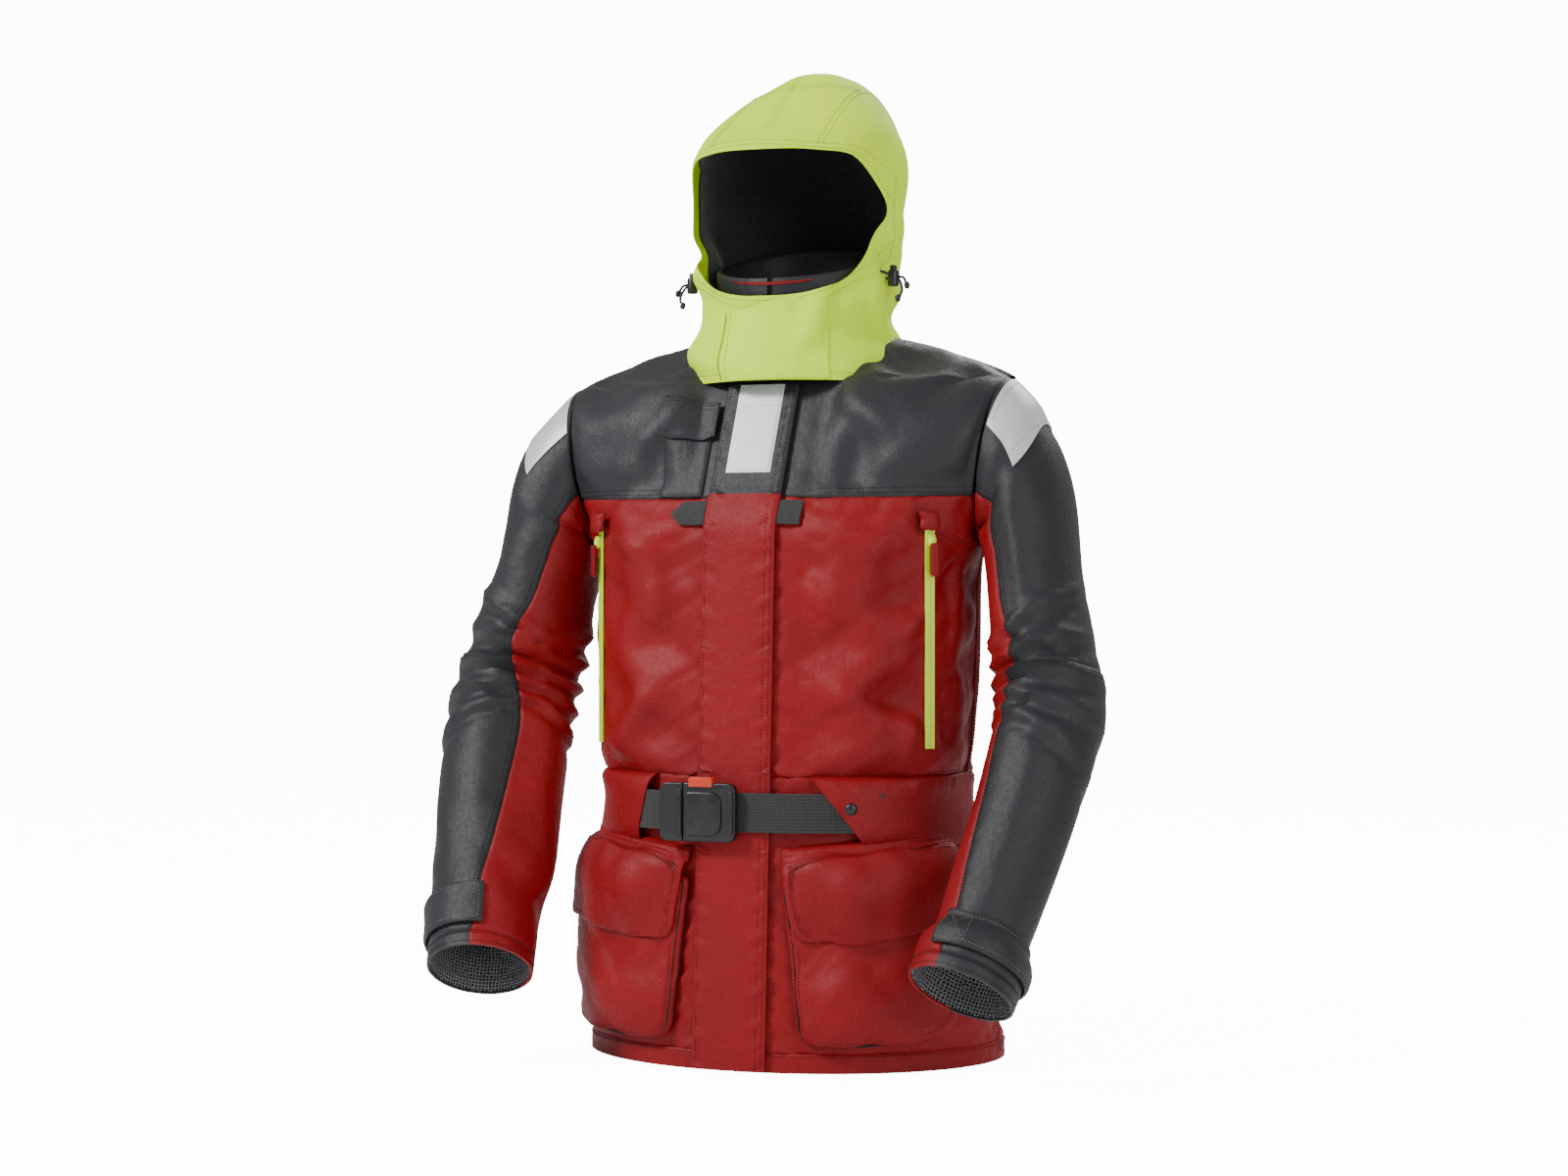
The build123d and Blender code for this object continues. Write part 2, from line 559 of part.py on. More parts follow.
def make_sleeves():
    upper = sleeve_loft(SHOULDER_SECTIONS, 0) - sleeve_loft(SHOULDER_SECTIONS, -SLEEVE_WALL)
    write_sleeve("sleeve_upper", upper, SHOULDER_SECTIONS[3])
    lower = sleeve_loft(FOREARM_SECTIONS, 0) - sleeve_loft(FOREARM_SECTIONS, -SLEEVE_WALL)
    lower = lower - elbow_cut()
    end = arm_plane(*FOREARM_SECTIONS[-1][:2])
    write_sleeve("sleeve_lower", lower - beyond(end.offset(-CUFF_LENGTH)), FOREARM_SECTIONS[2])
    write_pair("cuff_band", lower & beyond(end.offset(-CUFF_LENGTH + SEAM_GAP)))
    make_cuff_tab(end.offset(-CUFF_LENGTH - CUFF_TAB_ABOVE_CUFF - CUFF_TAB_WIDTH))


def make_cuff_tab(plane):
    across, deep = CUFF_TAB_INNER
    outer = Ellipse(across + CUFF_TAB_THICKNESS, deep + CUFF_TAB_THICKNESS)
    ring = extrude(plane * outer, CUFF_TAB_WIDTH) - extrude(plane * Ellipse(across, deep), CUFF_TAB_WIDTH)
    write_pair("cuff_tab", ring & cuff_tab_sector(plane))


def cuff_tab_sector(plane):
    """A wedge round the cuff, from the free end at the outer back to the sewn end at the inner front."""
    reach = WIDE / 2
    rim = []
    for i in range(CUFF_TAB_STEPS + 1):
        angle = math.radians(CUFF_TAB_START + CUFF_TAB_SPAN * i / CUFF_TAB_STEPS)
        rim.append((reach * math.cos(angle), reach * math.sin(angle)))
    return extrude(plane * make_face(Polyline((0, 0), *rim, close=True)), CUFF_TAB_WIDTH)


# ---- hood ---------------------------------------------------------------------------------
HOOD_SEAM_X = 62.0
HOOD_FOOT = 714.0
ABOVE_FACE = 870.0          # above here the centre panel runs over the brow
BEHIND_NECK_Y = 40.0        # behind here it runs down the back of the head
HOOD_LINING_OUT, HOOD_LINING_IN, HOOD_LINING_FOOT = -3.2, -4.8, 800.0
HOOD_TO_SHOULDER = 4.5
FACE_OUTLINE = [
    (0, 952), (60, 952), (90, 948), (105, 918), (107, 885), (97, 846), (66, 814), (27, 803), (0, 802),
]
FACE_CUT_DEPTH = 180.0
CHIN_TAB_X, CHIN_TAB_Z = (-40.0, 22.0), (714.0, 797.0)
CHIN_TAB_OUT, CHIN_TAB_IN = 3.6, 1.4
CORD_LOCK_PLACE = (116.0, 6.0, 822.0)
CORD_RADIUS, CORD_LENGTH, CORD_SHIFT = 1.4, 32.0, 4.0
KNOB_RADIUS, KNOB_SHIFT = 3.4, 20.0
BARREL_RADIUS, BARREL_LENGTH, BARREL_RAISE = 6.0, 18.0, 1.0
BARREL_CORD_HOLE, BARREL_CORD_HOLE_LENGTH = 2.0, 40.0
BARREL_WELL_RADIUS, BARREL_WELL_DEPTH, BARREL_WELL_RAISE = 4.3, 7.0, 6.6
LOCK_BUTTON_RADIUS, LOCK_BUTTON_LENGTH, LOCK_BUTTON_RAISE = 4.0, 8.0, 11.0


def face_opening():
    left = [(-x, z) for x, z in reversed(FACE_OUTLINE[1:-1])]
    outline = Spline(*[(x, 0, z) for x, z in FACE_OUTLINE + left], periodic=True)
    return extrude(make_face(outline), FACE_CUT_DEPTH, dir=(0, -1, 0))


def centre_zone(grow):
    """The strip over the brow, the crown and the back of the head, grown by a gap."""
    strip = (-HOOD_SEAM_X - grow, HOOD_SEAM_X + grow)
    over_face = block(strip, (-WIDE, WIDE), (ABOVE_FACE - grow, BIG))
    behind = block(strip, (BEHIND_NECK_Y - grow, WIDE), (COLLAR_FOOT, BIG))
    return over_face + behind


def make_hood():
    opening = face_opening()
    shoulders = torso(HOOD_TO_SHOULDER)
    below = block((-WIDE, WIDE), (-WIDE, WIDE), (-BIG, HOOD_FOOT))
    shell = hood(0) - hood(-FABRIC) - opening - shoulders - below
    write("hood_center_panel", shell & centre_zone(0))
    sides = shell - centre_zone(SEAM_GAP)
    write_pair("hood_side_panel", sides & block((SEAM_GAP / 2, WIDE), (-WIDE, WIDE), (0, BIG)))
    upper = block((-WIDE, WIDE), (-WIDE, WIDE), (HOOD_LINING_FOOT, BIG))
    lining = (hood(HOOD_LINING_OUT) - hood(HOOD_LINING_IN)) & upper
    write("hood_lining", lining - opening - shoulders)
    tab_zone = block(CHIN_TAB_X, (-WIDE, 0), CHIN_TAB_Z)
    write("chin_tab", (hood(CHIN_TAB_OUT) & tab_zone) - hood(CHIN_TAB_IN))


def make_cord_locks():
    place = Pos(*CORD_LOCK_PLACE)
    cord = place * Pos(CORD_SHIFT, 0, 0) * Rot(0, 90, 0) * Cylinder(CORD_RADIUS, CORD_LENGTH)
    knob = place * Pos(KNOB_SHIFT, 0, 0) * Sphere(KNOB_RADIUS)
    cord_and_knob = (cord + knob) - hood(0.6)
    write("hood_cords", cord_and_knob, mirrored(cord_and_knob))
    barrel = place * Pos(0, 0, BARREL_RAISE) * Cylinder(BARREL_RADIUS, BARREL_LENGTH)
    barrel -= place * Rot(0, 90, 0) * Cylinder(BARREL_CORD_HOLE, BARREL_CORD_HOLE_LENGTH)
    barrel -= place * Pos(0, 0, BARREL_WELL_RAISE) * Cylinder(BARREL_WELL_RADIUS, BARREL_WELL_DEPTH)
    write_pair("cord_lock_barrel", barrel)
    button = place * Pos(0, 0, LOCK_BUTTON_RAISE) * Cylinder(LOCK_BUTTON_RADIUS, LOCK_BUTTON_LENGTH)
    write_pair("cord_lock_button", fillet(button.edges().group_by(Axis.Z)[-1], 1.5))


def main():
    os.makedirs("parts", exist_ok=True)
    make_body()
    make_inner_layers()
    make_collar()
    make_hanger_loop()
    make_front_closure()
    make_belt()
    make_buckle()
    make_cargo_pockets()
    make_chest_pocket()
    make_chest_zips()
    make_webbing_tabs()
    make_shoulder_reflectors()
    make_sleeves()
    make_hood()
    make_cord_locks()


main()
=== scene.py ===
"""The foul weather jacket's looks: draped panels, trims and hardware built round the CAD frame.

Lengths are in millimetres until a mesh is made. Left and right are the wearer's; the wearer faces -Y.
"""

import math

import bpy
import numpy as np
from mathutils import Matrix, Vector


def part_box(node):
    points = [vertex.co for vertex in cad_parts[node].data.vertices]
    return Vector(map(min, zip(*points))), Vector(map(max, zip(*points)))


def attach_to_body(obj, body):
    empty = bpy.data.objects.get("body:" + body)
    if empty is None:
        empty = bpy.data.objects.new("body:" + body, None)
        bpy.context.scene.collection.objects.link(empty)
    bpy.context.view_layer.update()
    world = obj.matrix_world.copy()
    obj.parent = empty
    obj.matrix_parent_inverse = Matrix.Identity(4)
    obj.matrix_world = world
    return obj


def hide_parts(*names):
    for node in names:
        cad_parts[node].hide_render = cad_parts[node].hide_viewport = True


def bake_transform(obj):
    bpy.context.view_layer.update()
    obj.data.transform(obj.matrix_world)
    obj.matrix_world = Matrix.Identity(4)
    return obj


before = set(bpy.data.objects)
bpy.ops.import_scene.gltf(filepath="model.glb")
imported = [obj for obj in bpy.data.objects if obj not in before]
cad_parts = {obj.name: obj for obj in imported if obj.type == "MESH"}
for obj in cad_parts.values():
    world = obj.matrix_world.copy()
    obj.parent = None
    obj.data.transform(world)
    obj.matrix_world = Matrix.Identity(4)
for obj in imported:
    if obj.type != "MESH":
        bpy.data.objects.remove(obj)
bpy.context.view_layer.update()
MM = 0.001


def span(node):
    """Lowest and highest corner of a CAD node, in millimetres."""
    low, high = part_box(node)
    return np.array(low) / MM, np.array(high) / MM


# ---- driving dimensions, read from the frame ----------------------------------------------
YOKE_SEAM = span("front_panel_left")[1][2]
HEM_SEAM = span("hem_band")[1][2]
FLAP_LOW, FLAP_HIGH = span("storm_flap_chest")
SKIRT_FLAP_TOP = span("storm_flap_skirt")[1][2]
HELD_FLAP_TOP = span("storm_flap_held")[1][2]
WEBBING_LOW, WEBBING_HIGH = span("belt_webbing")
BELT_HEIGHT = (WEBBING_LOW[2] + WEBBING_HIGH[2]) / 2
WAIST_SEAM = BELT_HEIGHT + 36        # the seam runs just above the belt's tunnels
HOUSING_LOW, HOUSING_HIGH = span("buckle_housing")
TONGUE_LOW = span("buckle_tongue")[0]
BUTTON_LOW, BUTTON_HIGH = span("buckle_button")

TORSO_MIDDLE_Y = 15.0
SEAM_ANGLE = 67.0            # half of the red inner sleeve panel, either side of the inside of the arm
ELBOW_HEIGHT = 405.0
CUFF_HEM = 16.0              # height of the turned-over end of the sleeve
CROOK_ANGLE = 222.0          # the crook of the elbow, round the arm

# run up the side, height, half width, front, back, squareness
TORSO = np.array([
    (0, 0, 228, -160, 200, 2.0),
    (100, 100, 226, -154.6, 192, 2.0),
    (200, 200, 214, -149.3, 176, 2.05),
    (265, 265, 198, -145.8, 160, 2.1),
    (340, 340, 205, -141.8, 158, 2.1),
    (430, 430, 209, -137, 155, 2.1),
    (520, 520, 213, -132.1, 150, 2.2),
    (560, 560, 222, -128, 147, 2.3),
    (600, 600, 236, -108, 143, 2.5),
    (640, 640, 242, -90, 135, 2.6),
    (680, 680, 243, -71.8, 122, 2.6),
    (705, 705, 238, -60.5, 112, 2.5),
    (738, 725, 214, -44, 100, 2.3),
    (778, 742, 178, -26, 88, 2.2),
    (826, 757, 132, -8, 72, 2.1),
    (859, 764, 98, 5, 62, 2.0),
])
ARMHOLE_CENTRE = np.array([230.5, 10.0, 631.0])
ARMHOLE_HALF_HEIGHT, ARMHOLE_HALF_DEPTH = 86.0, 66.0
ARMHOLE_UP = np.array([0.157, 0.0, 0.988])

# centre, direction towards the cuff, half width across, half depth
SLEEVE = [
    ((230.5, 10, 631), (170, 0, -27), 86, 66),
    ((257, 4, 602), (109, 0, -78), 68, 77),
    ((273, -8, 535), (26, -20, -100), 55, 76),
    ((290, -30, 446), (22, -22, -100), 59, 72),
    ((306, -49, 372), (8, -33, -94), 64, 71),
    ((299, -93, 288), (-14, -52, -86), 62, 67),
    ((281, -154, 186), (-17, -54, -84), 58, 62),
    ((264, -208, 98), (-18, -54, -83), 55, 57),
]

# run, height, half width, front, back of the hood
HOOD = np.array([
    (0, 712, 108, -74, 121),
    (38, 750, 108, -73, 122),
    (88, 800, 106, -74, 128),
    (138, 850, 108, -82, 140),
    (188, 900, 112, -92, 150),
    (238, 950, 114, -100, 155),
    (264, 970, 109, -78, 155),
    (294, 990, 101, -48, 153),
    (326, 1009, 89, -20, 150),
    (358, 1026, 74, 6, 144),
    (388, 1040, 56, 30, 134),
    (416, 1050, 37, 52, 119),
    (440, 1056, 20, 70, 103),
    (462, 1058.5, 1, 85, 87),
])
FACE = [(0, 952), (60, 952), (90, 948), (105, 918), (107, 885), (97, 846), (66, 814), (27, 803), (0, 802)]
TORSO_END = TORSO[-1, 0]


# ---- curves and grids ---------------------------------------------------------------------
def curve_through(knots, values, at):
    """Smooth curve through values at knots, read anywhere."""
    knots = np.asarray(knots, float)
    values = np.asarray(values, float)
    slopes = np.gradient(values, knots, axis=0)
    at = np.clip(np.asarray(at, float), knots[0], knots[-1])
    i = np.clip(np.searchsorted(knots, at, side="right") - 1, 0, len(knots) - 2)
    length = knots[i + 1] - knots[i]
    t = (at - knots[i]) / length
    if values.ndim > 1:
        t = t[..., None]
        length = length[..., None]
    rise = 3 * t**2 - 2 * t**3
    bend = (t**3 - 2 * t**2 + t) * slopes[i] + (t**3 - t**2) * slopes[i + 1]
    return values[i] * (1 - rise) + values[i + 1] * rise + bend * length


def smoothstep(x):
    x = np.clip(x, 0, 1)
    return x * x * (3 - 2 * x)


def unit(vectors):
    return vectors / np.maximum(np.linalg.norm(vectors, axis=-1, keepdims=True), 1e-9)


def graded(count):
    """Fractions 0 to 1, closer together at both ends, so that seams can roll."""
    step = 1 / count
    ends = [0, step * 0.12, step * 0.3, step * 0.6]
    inner = list(np.linspace(step, 1 - step, count - 1))
    return np.array(ends + inner + [1 - e for e in reversed(ends)])


def ripple(along, seed, wave=18.0):
    """A few waves of different lengths added up, about -1 to 1."""
    random = np.random.default_rng(seed)
    total = np.zeros_like(along, dtype=float)
    for stretch in (0.6, 1.0, 1.7):
        total += np.sin(2 * math.pi * along / (wave * stretch) + random.uniform(0, 6.28))
    return total / 3


def read_grid(grid, row, column, wrap):
    """Value of a grid at fractional places, smoothly (Catmull-Rom)."""
    rows, columns = grid.shape[:2]
    r0, c0 = np.floor(row).astype(int), np.floor(column).astype(int)
    fr, fc = row - r0, column - c0

    def weights(t):
        return (
            -0.5 * t + t**2 - 0.5 * t**3,
            1 - 2.5 * t**2 + 1.5 * t**3,
            0.5 * t + 2 * t**2 - 1.5 * t**3,
            -0.5 * t**2 + 0.5 * t**3,
        )

    total = 0
    for i, wr in enumerate(weights(fr)):
        ri = np.clip(r0 + i - 1, 0, rows - 1)
        for j, wc in enumerate(weights(fc)):
            cj = c0 + j - 1
            cj = cj % columns if wrap else np.clip(cj, 0, columns - 1)
            total = total + grid[ri, cj] * (wr * wc)[..., None]
    return total


class Surface:
    """A draped cloth: a base shape and how far the cloth has moved from it, read at (across, run)."""

    def __init__(self, base, across, run, shape, wrap=False):
        self.base, self.across, self.run, self.wrap = base, across, run, wrap
        self.moved = np.zeros(shape + (3,))
        self.flip = 1.0
        mid = (np.array([(across[0] + across[1]) / 2 + 0.3]), np.array([(run[0] + run[1]) / 2]))
        ring = self.base(np.linspace(*across, 40), np.full(40, mid[1][0]))
        outward = self.base(*mid)[0] - ring.mean(axis=0)
        if not wrap:
            outward = self.base(*mid)[0] - np.array([0, TORSO_MIDDLE_Y, mid[1][0]])
        if self.normal(*mid)[0] @ outward < 0:
            self.flip = -1.0

    def push(self, distance):
        """Moves the cloth outwards by a grid of distances."""
        across, run = self.places()
        self.moved = self.moved + self.normal(across, run) * distance[..., None]

    def places(self):
        rows, columns = self.moved.shape[:2]
        run = np.linspace(*self.run, rows)
        across = np.linspace(*self.across, columns, endpoint=not self.wrap)
        return np.meshgrid(across, run)

    def point(self, across, run):
        across, run = np.broadcast_arrays(np.asarray(across, float), np.asarray(run, float))
        rows, columns = self.moved.shape[:2]
        row = (run - self.run[0]) / (self.run[1] - self.run[0]) * (rows - 1)
        cells = columns if self.wrap else columns - 1
        column = (across - self.across[0]) / (self.across[1] - self.across[0]) * cells
        return self.base(across, run) + read_grid(self.moved, row, column, self.wrap)

    def normal(self, across, run):
        width = (self.across[1] - self.across[0]) / 400
        height = (self.run[1] - self.run[0]) / 400
        along = self.point(across + width, run) - self.point(across - width, run)
        up = self.point(across, run + height) - self.point(across, run - height)
        return unit(np.cross(along, up)) * self.flip

    def lifted(self, across, run, lift):
        lift = np.asarray(lift, float)
        if lift.ndim:
            lift = lift[..., None]
        return self.point(across, run) + self.normal(across, run) * lift


# ---- base shapes --------------------------------------------------------------------------
def ring_point(section, angle, front_sign):
    """Point of a level ring; angle runs from its centre front (or centre back) round to the side."""
    height, half, front, rear, square = np.moveaxis(section, -1, 0)
    middle, depth = (front + rear) / 2, (rear - front) / 2
    s, c = np.sin(angle), np.cos(angle)
    reach = (np.abs(s) ** square + np.abs(c) ** square) ** (-1 / square)
    return np.stack([half * reach * s, middle + front_sign * depth * reach * c, height], axis=-1)


def torso_section(run):
    return curve_through(TORSO[:, 0], TORSO[:, 1:], run)


ARMHOLE_LOW = ARMHOLE_CENTRE[2] - ARMHOLE_HALF_HEIGHT * ARMHOLE_UP[2]
ARMHOLE_HIGH = ARMHOLE_CENTRE[2] + ARMHOLE_HALF_HEIGHT * ARMHOLE_UP[2]


def armhole_edge(section, front_sign):
    """Where the row at this section ends: on the armhole, or at the side outside it."""
    height, half, front, rear = np.moveaxis(section, -1, 0)[:4]
    middle = (front + rear) / 2
    level = np.clip(height, ARMHOLE_LOW, ARMHOLE_HIGH)
    up = (level - ARMHOLE_CENTRE[2]) / ARMHOLE_UP[2] / ARMHOLE_HALF_HEIGHT
    deep = ARMHOLE_HALF_DEPTH * np.sqrt(np.maximum(1 - up**2, 0))
    arm_x = ARMHOLE_CENTRE[0] + ARMHOLE_UP[0] * up * ARMHOLE_HALF_HEIGHT
    arm_y = ARMHOLE_CENTRE[1] + front_sign * deep
    limit = torso_section(np.where(height > ARMHOLE_CENTRE[2], TORSO_TOP_RUN, ARMHOLE_LOW))
    outside = np.abs(height - level)
    fade = np.exp(-((outside / 26) ** 2))
    side_x = half + fade * (arm_x - limit[..., 1])
    side_y = middle + fade * (arm_y - (limit[..., 2] + limit[..., 3]) / 2)
    inside = outside < 1e-6
    return np.where(inside, arm_x, side_x), np.where(inside, arm_y, side_y)


def run_at_height(height):
    """Run up the torso's side at a height."""
    return np.interp(height, TORSO[:, 1], TORSO[:, 0])


TORSO_TOP_RUN = float(run_at_height(ARMHOLE_HIGH))


def torso_base(front_sign):
    def base(across, run):
        section = torso_section(run)
        half, front, rear = section[..., 1], section[..., 2], section[..., 3]
        middle, depth = (front + rear) / 2, (rear - front) / 2
        edge_x, edge_y = armhole_edge(section, front_sign)
        edge_angle = np.arctan2(edge_x / half, front_sign * (edge_y - middle) / depth)
        reach = np.abs(across)
        side = np.where(across < 0, -1.0, 1.0)
        point = ring_point(section, reach * edge_angle, front_sign)
        at_edge = ring_point(section, edge_angle, front_sign)
        pull = smoothstep((reach - 0.4) / 0.6)
        point[..., 0] = (point[..., 0] + pull * (edge_x - at_edge[..., 0])) * side
        point[..., 1] += pull * (edge_y - at_edge[..., 1])
        return point

    return base


SLEEVE_CENTRES = np.array([row[0] for row in SLEEVE], float)
SLEEVE_RUNS = np.concatenate([[0], np.cumsum(np.linalg.norm(np.diff(SLEEVE_CENTRES, axis=0), axis=1))])
SLEEVE_ALONG = unit(np.array([row[1] for row in SLEEVE], float))
SLEEVE_HALVES = np.array([row[2:] for row in SLEEVE], float)
SLEEVE_END = float(SLEEVE_RUNS[-1])


def sleeve_base(side):
    def base(angle, run):
        """angle in degrees: 0 outside of the arm, 90 back, 180 inside, 270 front."""
        centre = curve_through(SLEEVE_RUNS, SLEEVE_CENTRES, run)
        along = unit(curve_through(SLEEVE_RUNS, SLEEVE_ALONG, run))
        halves = curve_through(SLEEVE_RUNS, SLEEVE_HALVES, run)
        out = unit(np.stack([-along[..., 2], np.zeros_like(run), along[..., 0]], axis=-1))
        back = np.cross(out, along)
        turn = np.radians(angle)[..., None]
        point = centre + out * np.cos(turn) * halves[..., :1] + back * np.sin(turn) * halves[..., 1:]
        return point * np.array([side, 1, 1])

    return base


ELBOW_RUN = float(np.interp(ELBOW_HEIGHT, SLEEVE_CENTRES[::-1, 2], SLEEVE_RUNS[::-1]))
CUFF_RUN = SLEEVE_END - CUFF_HEM
TORSO_CELLS, ARM_CELLS, HOOD_CELLS = (86, 61), (62, 44), (74, 72)

SIDES = {"left": 1, "right": -1}
FRONT, BACK = (Surface(torso_base(sign), (-1, 1), (0, TORSO_END), TORSO_CELLS) for sign in (-1, 1))
ARMS = {side: Surface(sleeve_base(sign), (0, 360), (0, SLEEVE_END), ARM_CELLS, wrap=True)
        for side, sign in SIDES.items()}


def hood_base(angle, run):
    """angle in degrees: 0 front, 90 the wearer's left, 180 back."""
    section = curve_through(HOOD[:, 0], HOOD[:, 1:], run)
    height, half, front, rear = np.moveaxis(section, -1, 0)
    turn = np.radians(angle)
    middle, depth = (front + rear) / 2, (rear - front) / 2
    return np.stack([half * np.sin(turn), middle - depth * np.cos(turn), height + 0 * turn], axis=-1)


HOOD_TOP = float(HOOD[-1, 0])
HEAD = Surface(hood_base, (0, 360), (0, HOOD_TOP), HOOD_CELLS, wrap=True)


def hood_run(height):
    return np.interp(height, HOOD[:, 1], HOOD[:, 0])


def hood_angle(x, run):
    """Angle on the hood's front of a point at x."""
    return np.degrees(np.arcsin(np.clip(x / np.interp(run, HOOD[:, 0], HOOD[:, 2]), -1, 1)))


# ---- cloth simulation ---------------------------------------------------------------------
DRAPE_FRAMES = 22
DRAPE_LIMIT = 13.0          # furthest that simulation may move the cloth, before the folds are scaled
FOLD_GAIN = 1.6             # how much deeper the folds are made than the simulation gives them
SWELLING_CUT = 0.85         # share of the even, foldless swelling that is taken back out
SWELLING_PASSES = 70        # of evening out, after which only the swelling is left
CLOTH_GROWTH = 0.06         # how much larger the cloth is than the surface it hangs on
CORE_GAP = 8.0              # from the cloth in to the body it rests on
CLOTH = {"quality": 6, "mass": 0.25, "tension_stiffness": 14, "compression_stiffness": 14,
         "shear_stiffness": 5, "bending_stiffness": 5.0,
         "shrink_min": -CLOTH_GROWTH, "shrink_max": -CLOTH_GROWTH, "vertex_group_mass": "held"}
CLOTH_GRAVITY = 0.3
CLOTH_CLEARANCE, CORE_CLEARANCE = 0.003, 0.002


def plain_grid(name, points, wrap):
    """A bare mesh through a grid of points, for the simulation only."""
    rows, columns = points.shape[:2]
    index = np.arange(rows * columns).reshape(rows, columns)
    if wrap:
        index = np.concatenate([index, index[:, :1]], axis=1)
    corners = (index[:-1, :-1], index[:-1, 1:], index[1:, 1:], index[1:, :-1])
    faces = np.stack([c.ravel() for c in corners], 1)
    mesh = mesh_from(name, (points.reshape(-1, 3) * MM).tolist(), faces.tolist())
    grid = bpy.data.objects.new(name, mesh)
    bpy.context.scene.collection.objects.link(grid)
    return grid


def calmed(field, wrap, passes=3):
    """Evens out buckles that are no wider than a few cells of the grid."""
    for _ in range(passes):
        for axis in (0, 1):
            border = [(0, 0)] * field.ndim
            border[axis] = (1, 1)
            wide = np.pad(field, border, mode="wrap" if wrap and axis else "edge")
            count = wide.shape[axis]
            before = wide.take(range(0, count - 2), axis)
            after = wide.take(range(2, count), axis)
            field = field * 0.5 + (before + after) * 0.25
    return field


def drape(surface, held):
    """Hangs a surface as cloth a little larger than the space between the seams that hold it."""
    scene = bpy.context.scene
    across, run = surface.places()
    points = surface.base(across, run)
    normals = surface.normal(across, run)
    cloth = plain_grid("drape_cloth", points, surface.wrap)
    core = plain_grid("drape_core", points - normals * CORE_GAP, surface.wrap)
    core.modifiers.new("core", "COLLISION")
    core.collision.thickness_outer = CORE_CLEARANCE
    group = cloth.vertex_groups.new(name="held")
    for i, weight in enumerate(held.ravel()):
        group.add([i], float(weight), "REPLACE")
    modifier = cloth.modifiers.new("cloth", "CLOTH")
    for name, value in CLOTH.items():
        setattr(modifier.settings, name, value)
    modifier.settings.effector_weights.gravity = CLOTH_GRAVITY
    modifier.collision_settings.distance_min = CLOTH_CLEARANCE
    modifier.point_cache.frame_end = DRAPE_FRAMES
    for step in range(1, DRAPE_FRAMES + 1):
        scene.frame_set(step)
    settled = cloth.evaluated_get(bpy.context.evaluated_depsgraph_get()).data
    place = np.zeros(len(settled.vertices) * 3)
    settled.vertices.foreach_get("co", place)
    moved = place.reshape(points.shape) / MM - points
    far = np.linalg.norm(moved, axis=-1, keepdims=True)
    moved = moved * np.minimum(1, DRAPE_LIMIT / np.maximum(far, 1e-6))
    folds = calmed(moved, surface.wrap) - SWELLING_CUT * calmed(moved, surface.wrap, SWELLING_PASSES)
    surface.moved = folds * (1 - held)[..., None] * FOLD_GAIN
    scene.frame_set(1)
    for item in (cloth, core):
        bpy.data.objects.remove(item)


def near(value, middle, half, fade):
    """1 within half of the middle, falling to 0 over the fade."""
    return 1 - smoothstep((np.abs(value - middle) - half) / fade)


CHEST_ZIP_X, CHEST_ZIP_Y = 183.0, -74.0
CHEST_ZIP_LOW, CHEST_ZIP_HIGH = 330.0, 560.0
CHEST_ZIP_MIDDLE = (CHEST_ZIP_LOW + CHEST_ZIP_HIGH) / 2


def held_on_torso(surface, front):
    """How firmly each place of the torso is held: at seams, belt, storm flap and chest zips."""
    across, run = surface.places()
    edge = near(np.abs(across), 1.0, 0.012, 0.03)
    rows = np.maximum(near(run, 0, 14, 30), near(run, surface.run[1], 26, 60))
    belt = near(run, BELT_HEIGHT, 26, 30)
    seam = near(run, YOKE_SEAM, 4, 10) * 0.7
    held = np.maximum.reduce([edge, rows, belt, seam])
    if front:
        x = np.abs(surface.base(across, run)[..., 0])
        zips = near(x, CHEST_ZIP_X, 7, 14) * near(run, CHEST_ZIP_MIDDLE, 120, 25)
        held = np.maximum.reduce([held, near(x, 0, 50, 26), zips * 0.95])
    return held


def held_on_arm(surface):
    """How firmly each place of a sleeve is held: at its two ends."""
    run = surface.places()[1]
    return np.maximum(near(run, 0, 10, 26), near(run, surface.run[1], 34, 30))


# slope round the arm, height, start below the elbow
ELBOW_CREASES = [(-0.42, 5.5, -26), (-0.17, 7.0, -9), (0.05, 6.5, 8), (0.27, 6.0, 25), (0.5, 4.5, 44)]


def crook_creases(arm):
    """Creases that fan out from the crook of the elbow to its tip."""
    angle, run = arm.places()
    from_crook = np.abs((angle - CROOK_ANGLE + 180) % 360 - 180)
    push = np.zeros_like(angle)
    for slope, height, start in ELBOW_CREASES:
        line = ELBOW_RUN + start + slope * from_crook
        away = run - line
        ridge = np.exp(-((away / 8.5) ** 2)) - 0.9 * np.exp(-(((away - 13) / 7.5) ** 2))
        push += height * ridge * smoothstep(1.25 - from_crook / 150)
    arm.push(push)


ACROSS_WIDTH = 260.0        # roughly, from the middle of the body to its side
LONG_FOLD_GAIN = 1.6


def long_folds(surface, folds):
    """Soft folds: each from one (across, run) place to another, with a width and a height."""
    across, run = surface.places()
    push = np.zeros_like(across)
    for (a0, r0), (a1, r1), width, height in folds:
        line = np.array([(a1 - a0) * ACROSS_WIDTH, r1 - r0])
        length = np.linalg.norm(line)
        line = line / length
        dx, dy = across * ACROSS_WIDTH - a0 * ACROSS_WIDTH, run - r0
        along = dx * line[0] + dy * line[1]
        aside = dx * -line[1] + dy * line[0]
        bend = 6 * np.sin(along / 47)
        ends = smoothstep(along / 30) * smoothstep((length - along) / 30)
        push += LONG_FOLD_GAIN * height * np.exp(-(((aside - bend) / width) ** 2)) * ends
    surface.push(push)


